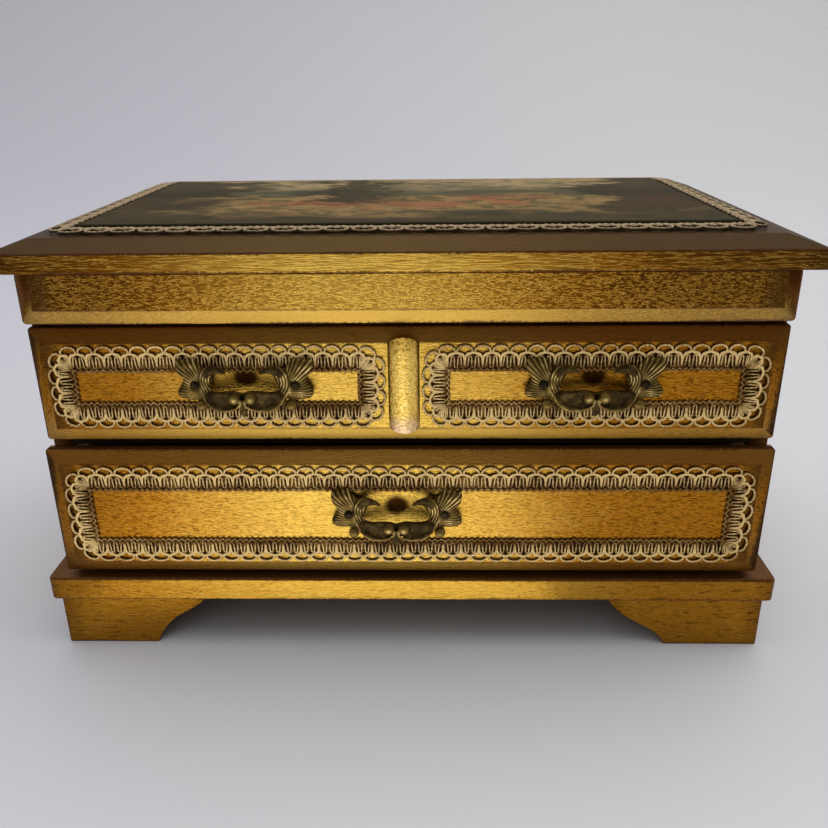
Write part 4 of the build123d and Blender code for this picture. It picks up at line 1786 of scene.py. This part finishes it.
@dataclass
class Plinth:
    """The base board on its four bracket feet."""

    paint: GiltPaint
    base_corner: float = 2.4
    base_arris: float = 1.0
    foot_arris: float = 0.5
    feet: tuple[str, ...] = ("foot_front_left", "foot_front_right", "foot_back_left", "foot_back_right")

    def build(self, shop: Workshop) -> None:
        """Shapes and dresses the base and the feet.

        Args:
            shop: Where the pieces are placed.
        """
        lines = BoardLines.of("base_board")
        shape = Shape()
        shape.block(lines.low, lines.high)
        shape.bevel(shape.edges_along(Axis.Z, 1.0), self.base_corner, 4)
        shape.bevel(shape.edges_at(Axis.Z, lines.high.z), self.base_arris, 4)
        shape.bevel(shape.edges_at(Axis.Z, lines.low.z), self.foot_arris, 2)
        material = self.paint.material("base_gilt", lines)
        shop.place(shape, "base_slab", material, Body.CARCASS, Slot.GILT, "base_board")
        for node in self.feet:
            foot = Shape()
            foot.solid_copy(shop.solid(node))
            foot.bevel(foot.sharp_edges(40), self.foot_arris, 2)
            paint = self.paint.material(node + "_gilt", BoardLines.of(node))
            shop.place(foot, node + "_bracket", paint, Body.CARCASS, Slot.GILT, node)


@dataclass
class Lid:
    """The bevelled lid board with its painted panel."""

    paint: GiltPaint
    picture: PaintedPanel
    arris: float = 0.55
    ridge: float = 0.4
    under_arris: float = 0.3
    ridge_in: tuple[float, float, float] = (10.65, 8.65, 0.0)
    edge_thick: float = 6.4
    panel_corner: float = 0.5
    panel_arris: float = 0.6

    def build(self, shop: Workshop) -> None:
        """Shapes and dresses the lid board and the picture.

        Args:
            shop: Where the pieces are placed.
        """
        lines = BoardLines.of("lid_board")
        shape = Shape()
        shape.solid_copy(shop.solid("lid_board"))
        arris = lines.low.z + self.edge_thick
        shape.bevel(shape.edges_at(Axis.Z, arris), self.arris)
        shape.bevel(shape.edges_at(Axis.Z, lines.high.z), self.ridge, 2)
        shape.bevel(shape.sharp_edges(60), self.under_arris, 2)
        slab = BoardLines(lines.low, Vector((lines.high.x, lines.high.y, arris)), self.ridge_in)
        material = self.paint.material("lid_gilt", slab)
        shop.place(shape, "lid_slab", material, Body.LID, Slot.GILT, "lid_board")
        panel = BoardLines.of("picture_panel")
        board = Shape()
        board.block(panel.low, panel.high)
        board.bevel(board.edges_along(Axis.Z, 1.0), self.panel_corner, 2)
        board.bevel(board.edges_at(Axis.Z, panel.high.z), self.panel_arris)
        painted = self.picture.material("picture_paint", panel)
        shop.place(board, "painted_panel", painted, Body.LID, Slot.PICTURE, "picture_panel")


@dataclass
class Bead:
    """The half-round bead between the two braid panels."""

    paint: GiltPaint
    arris: float = 0.4

    def build(self, shop: Workshop) -> None:
        """Shapes the bead and dresses it.

        Args:
            shop: Where the pieces are placed.
        """
        node = "half_round_bead"
        shape = Shape()
        shape.solid_copy(shop.solid(node))
        shape.bevel(shape.sharp_edges(50), self.arris, 2)
        material = self.paint.material("bead_gilt", BoardLines.of(node))
        shop.place(shape, "half_round_moulding", material, Body.UPPER, Slot.GILT, node)


@dataclass
class VelvetPad:
    """A velvet-covered pad on a floor or under the lid, softly crowned and drawn down at its edges."""

    node: str
    body: Body
    hung: bool = False
    cuts: tuple[int, int] = (64, 40)
    edge: float = 2.4
    ripple: float = 0.10
    ripple_scale: float = 0.045
    edge_height: float = 0.35
    crown_height: float = 0.55

    def build(self, shop: Workshop, finish: bpy.types.Material) -> None:
        """Shapes the pad and dresses it.

        Args:
            shop: Where the piece is placed.
            finish: The velvet.
        """
        lines = BoardLines.of(self.node)
        low, high = lines.low, lines.high
        size = high - low
        shape = Shape()
        made = bmesh.ops.create_grid(shape.bm, x_segments=self.cuts[0], y_segments=self.cuts[1], size=0.5)
        bmesh.ops.scale(shape.bm, vec=(size.x, size.y, 1.0), verts=made["verts"])
        bmesh.ops.translate(shape.bm, vec=(lines.mid.x, lines.mid.y, 0.0), verts=made["verts"])
        upper = list(shape.bm.verts)
        grown = bmesh.ops.extrude_face_region(shape.bm, geom=list(shape.bm.faces))["geom"]
        sign, ground = (-1, high.z) if self.hung else (1, low.z)
        for vert in upper:
            x, y, _ = vert.co
            gap = min(x - low.x, high.x - x, y - low.y, high.y - y)
            swell = 1.0 - max(0.0, 1.0 - gap / self.edge) ** 2
            ripple = self.ripple * noise.noise(vert.co * self.ripple_scale)
            height = size.z * (self.edge_height + self.crown_height * swell) + ripple * swell
            vert.co.z = ground + sign * height
        for vert in of_kind(grown, bmesh.types.BMVert):
            vert.co.z = ground
        bmesh.ops.recalc_face_normals(shape.bm, faces=shape.bm.faces)
        pad = shop.place(shape, self.node + "_pad", finish, self.body, Slot.VELVET, self.node, weighted=False)


@dataclass
class Inside:
    """The boards, hinges, nails and mirror that keep their solids' shapes."""

    drawer_arris: float = 0.3
    side_arris: float = 0.4
    frame_arris: float = 0.5

    def build(self, shop: Workshop) -> None:
        """Gives each solid its finish.

        Args:
            shop: Where the solids are dressed.
        """
        self.dress_wood(shop)
        self.dress_gilt(shop)
        shop.dress("lid_mirror", SilveredGlass().material("mirror_glass"))
        self.dress_brass(shop)

    def dress_wood(self, shop: Workshop) -> None:
        """Dresses the bare boards, with their grain along their length.

        Args:
            shop: Where the solids are dressed.
        """
        along = BareWood(grain=Axis.X).material("bare_wood_along")
        deep = BareWood(grain=Axis.Y).material("bare_wood_deep")
        for node in ("tray_floor", "foot_glue_blocks"):
            shop.dress(node, along)
        shop.dress("dust_board", STAINED_WOOD.material("stained_wood"))
        shop.dress("drawer_runners", deep)
        for drawer in ("upper_drawer", "lower_drawer"):
            for part in ("back", "bottom"):
                shop.dress(f"{drawer}_{part}", along, self.drawer_arris)
            for part in ("side_left", "side_right"):
                shop.dress(f"{drawer}_{part}", deep, self.drawer_arris)

    def dress_gilt(self, shop: Workshop) -> None:
        """Dresses the sides, the back and the mirror's frame.

        Args:
            shop: Where the solids are dressed.
        """
        for node in ("side_left", "side_right"):
            shop.dress(node, SIDE_GILT.material(node + "_gilt", BoardLines.of(node)), self.side_arris)
        shop.dress("back_panel", BACK_GILT.material("back_gilt", BoardLines.of("back_panel")))
        frame = MIRROR_GILT.material("mirror_frame_gilt", BoardLines.of("mirror_frame"))
        shop.dress("mirror_frame", frame, self.frame_arris)

    def dress_brass(self, shop: Workshop) -> None:
        """Dresses the hinges, their screws and the pulls' nails.

        Args:
            shop: Where the solids are dressed.
        """
        brass = HINGE_BRASS.material("hinge_brass")
        for side in ("left", "right"):
            for part in ("case_leaf", "lid_leaf", "pin"):
                shop.dress(f"hinge_{side}_{part}", brass)
        for node in ("hinge_screws_case", "hinge_screws_lid"):
            shop.dress(node, brass)
        for node in ("pull_nails_upper", "pull_nails_lower"):
            shop.dress(node, NAIL_BRASS.material(node + "_brass"))


@dataclass(frozen=True)
class SoftLamp:
    """A soft light: where it hangs, the point that it faces, its width and height, and its power in watts."""

    name: str
    place: tuple[float, float, float]
    aim: tuple[float, float, float]
    size: Span
    watts: float
    mirrored: bool = False

    def hang(self) -> None:
        """Hangs the light, seen by shiny surfaces only where it is mirrored."""
        data = bpy.data.lights.new(self.name, "AREA")
        data.shape = "RECTANGLE"
        data.size, data.size_y = (length * MM for length in self.size)
        data.energy = self.watts
        lamp = bpy.data.objects.new(self.name, data)
        spot, target = Vector(self.place) * MM, Vector(self.aim) * MM
        turn = (target - spot).to_track_quat("-Z", "Y").to_matrix().to_4x4()
        lamp.matrix_world = Matrix.Translation(spot) @ turn
        lamp.visible_camera = False
        lamp.visible_glossy = self.mirrored
        bpy.context.scene.collection.objects.link(lamp)


@dataclass
class Studio:
    """The camera, the paper sweep, the room's air and the soft lights."""

    camera_place: Vector = Vector((9.31, -332.53, 199.08))
    pitch: float = 22.22
    yaw: float = 1.47
    roll: float = -0.67
    focal_pixels: float = 832.2
    frame_pixels: float = 828.0
    sensor: float = 36.0
    clip_start: float = 10.0
    sweep_width: float = 6000.0
    sweep_front: float = -2600.0
    sweep_bend: float = 900.0
    sweep_radius: float = 900.0
    sweep_steps: int = 24
    sweep_top: float = 2600.0
    air_dim: Colour = (0.10, 0.095, 0.09)
    air_light: Colour = (0.92, 0.92, 0.95)
    air_span: Span = (-0.85, 0.35)
    air_strength: float = 0.8
    lamps: tuple[SoftLamp, ...] = (
        SoftLamp("overhead", (420, 400, 2100), (200, 300, 0), (3600, 3000), 50.0),
        SoftLamp("front_fill", (-150, -1000, 800), (0, 0, 70), (900, 600), 1.6),
        SoftLamp("table_glow", (-37, -267, 2), (-37, -267, 300), (188, 340), 0.153, mirrored=True),
    )

    def build(self) -> None:
        """Sets up the camera, the sweep and the lights."""
        self.camera()
        self.sweep(PalePaper().material("pale_paper"))
        self.air()
        for lamp in self.lamps:
            lamp.hang()
        bpy.context.scene.view_settings.view_transform = "Standard"

    def camera(self) -> None:
        """Sets up the camera at the photograph's place."""
        data = bpy.data.cameras.new("camera")
        data.sensor_width = self.sensor
        data.lens = self.sensor * self.focal_pixels / self.frame_pixels
        data.clip_start = self.clip_start * MM
        camera = bpy.data.objects.new("camera", data)
        turn = (
            Matrix.Rotation(math.radians(self.yaw), 4, "Z")
            @ Matrix.Rotation(math.radians(90 - self.pitch), 4, "X")
            @ Matrix.Rotation(math.radians(self.roll), 4, "Z")
        )
        camera.matrix_world = Matrix.Translation(self.camera_place * MM) @ turn
        bpy.context.scene.collection.objects.link(camera)
        bpy.context.scene.camera = camera

    def sweep(self, finish: bpy.types.Material) -> None:
        """Lays the paper sweep under and behind the chest.

        Args:
            finish: The paper.
        """
        shape = Shape()
        half = self.sweep_width / 2
        ends = [shape.bm.verts.new((x, self.sweep_front, 0.0)) for x in (-half, half)]
        edge = shape.bm.edges.new(ends)
        made = bmesh.ops.extrude_edge_only(shape.bm, edges=[edge])["geom"]
        moved = of_kind(made, bmesh.types.BMVert)
        bmesh.ops.translate(shape.bm, vec=(0, self.sweep_bend - self.sweep_front, 0), verts=moved)
        sides = of_kind(made, bmesh.types.BMEdge)
        far = [side for side in sides if all(vert in moved for vert in side.verts)]
        bent = bmesh.ops.spin(
            shape.bm,
            geom=[*moved, *far],
            cent=(0, self.sweep_bend, self.sweep_radius),
            axis=(1, 0, 0),
            angle=math.radians(90),
            steps=self.sweep_steps,
            use_merge=False,
        )["geom_last"]
        tip = of_kind(bent, bmesh.types.BMEdge)
        wall = bmesh.ops.extrude_edge_only(shape.bm, edges=tip)["geom"]
        raised = of_kind(wall, bmesh.types.BMVert)
        bmesh.ops.translate(shape.bm, vec=(0, 0, self.sweep_top), verts=raised)
        bmesh.ops.recalc_face_normals(shape.bm, faces=shape.bm.faces)
        floor = bpy.data.objects.new("paper_sweep", shape.mesh("paper_sweep"))
        floor.data.materials.append(finish)
        bpy.context.scene.collection.objects.link(floor)

    def air(self) -> None:
        """Fills the room with soft light, dim on the viewer's side."""
        world = bpy.data.worlds.new("room")
        g = Graph(world)
        depth = g.axes(g.node("ShaderNodeTexCoord").outputs["Generated"])[1]
        colour = g.mix(depth.step(*self.air_span), self.air_dim, self.air_light)
        inputs = {"Color": colour, "Strength": self.air_strength}
        glow = g.node("ShaderNodeBackground", None, inputs)
        g.node("ShaderNodeOutputWorld", None, {"Surface": glow.outputs[0]})
        bpy.context.scene.world = world


def main() -> None:
    """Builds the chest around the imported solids, piece by piece."""
    logging.basicConfig(level=logging.INFO, format="%(name)s: %(message)s")
    shop = Workshop(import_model())
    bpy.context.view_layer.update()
    Studio().build()
    pulls = {"pull_upper_left": Body.UPPER, "pull_upper_right": Body.UPPER, "pull_lower": Body.LOWER}
    upper_pulls = ("pull_upper_left", "pull_upper_right")
    FieldedFront("tray_front", Body.CARCASS, TRAY_GILT, top_bevel=False).build(shop)
    FieldedFront("upper_drawer_front", Body.UPPER, UPPER_GILT, pulls=upper_pulls).build(shop)
    FieldedFront("lower_drawer_front", Body.LOWER, LOWER_GILT, pulls=("pull_lower",)).build(shop)
    Plinth(PLINTH_GILT).build(shop)
    Lid(LID_GILT, PaintedPanel()).build(shop)
    Bead(BEAD_GILT).build(shop)
    Braid("lace_upper_left", Body.UPPER, DRAWER_BRAID, 5.9, seed=1).build(shop, CREAM_CORD)
    Braid("lace_upper_right", Body.UPPER, DRAWER_BRAID, 5.9, seed=2).build(shop, CREAM_CORD)
    Braid("lace_lower", Body.LOWER, DRAWER_BRAID, 6.35, seed=3).build(shop, CREAM_CORD)
    heading = Braid(
        "lace_lid",
        Body.LID,
        LID_BRAID,
        8.7,
        flat=True,
        pitch_out=6.2,
        crown=1.8,
        trim=2.0,
        beaded=0.35,
        seed=4,
    )
    heading.build(shop, TAUPE_CORD)
    LeafPull().build(shop, pulls, PULL_BRASS.material("pull_brass"))
    velvet = Velvet().material("velvet")
    VelvetPad("tray_lining", Body.CARCASS).build(shop, velvet)
    VelvetPad("upper_drawer_lining", Body.UPPER).build(shop, velvet)
    VelvetPad("lower_drawer_lining", Body.LOWER).build(shop, velvet)
    VelvetPad("lid_lining", Body.LID, hung=True).build(shop, velvet)
    Inside().build(shop)
    bpy.context.view_layer.update()


if __name__ == "__main__":
    main()
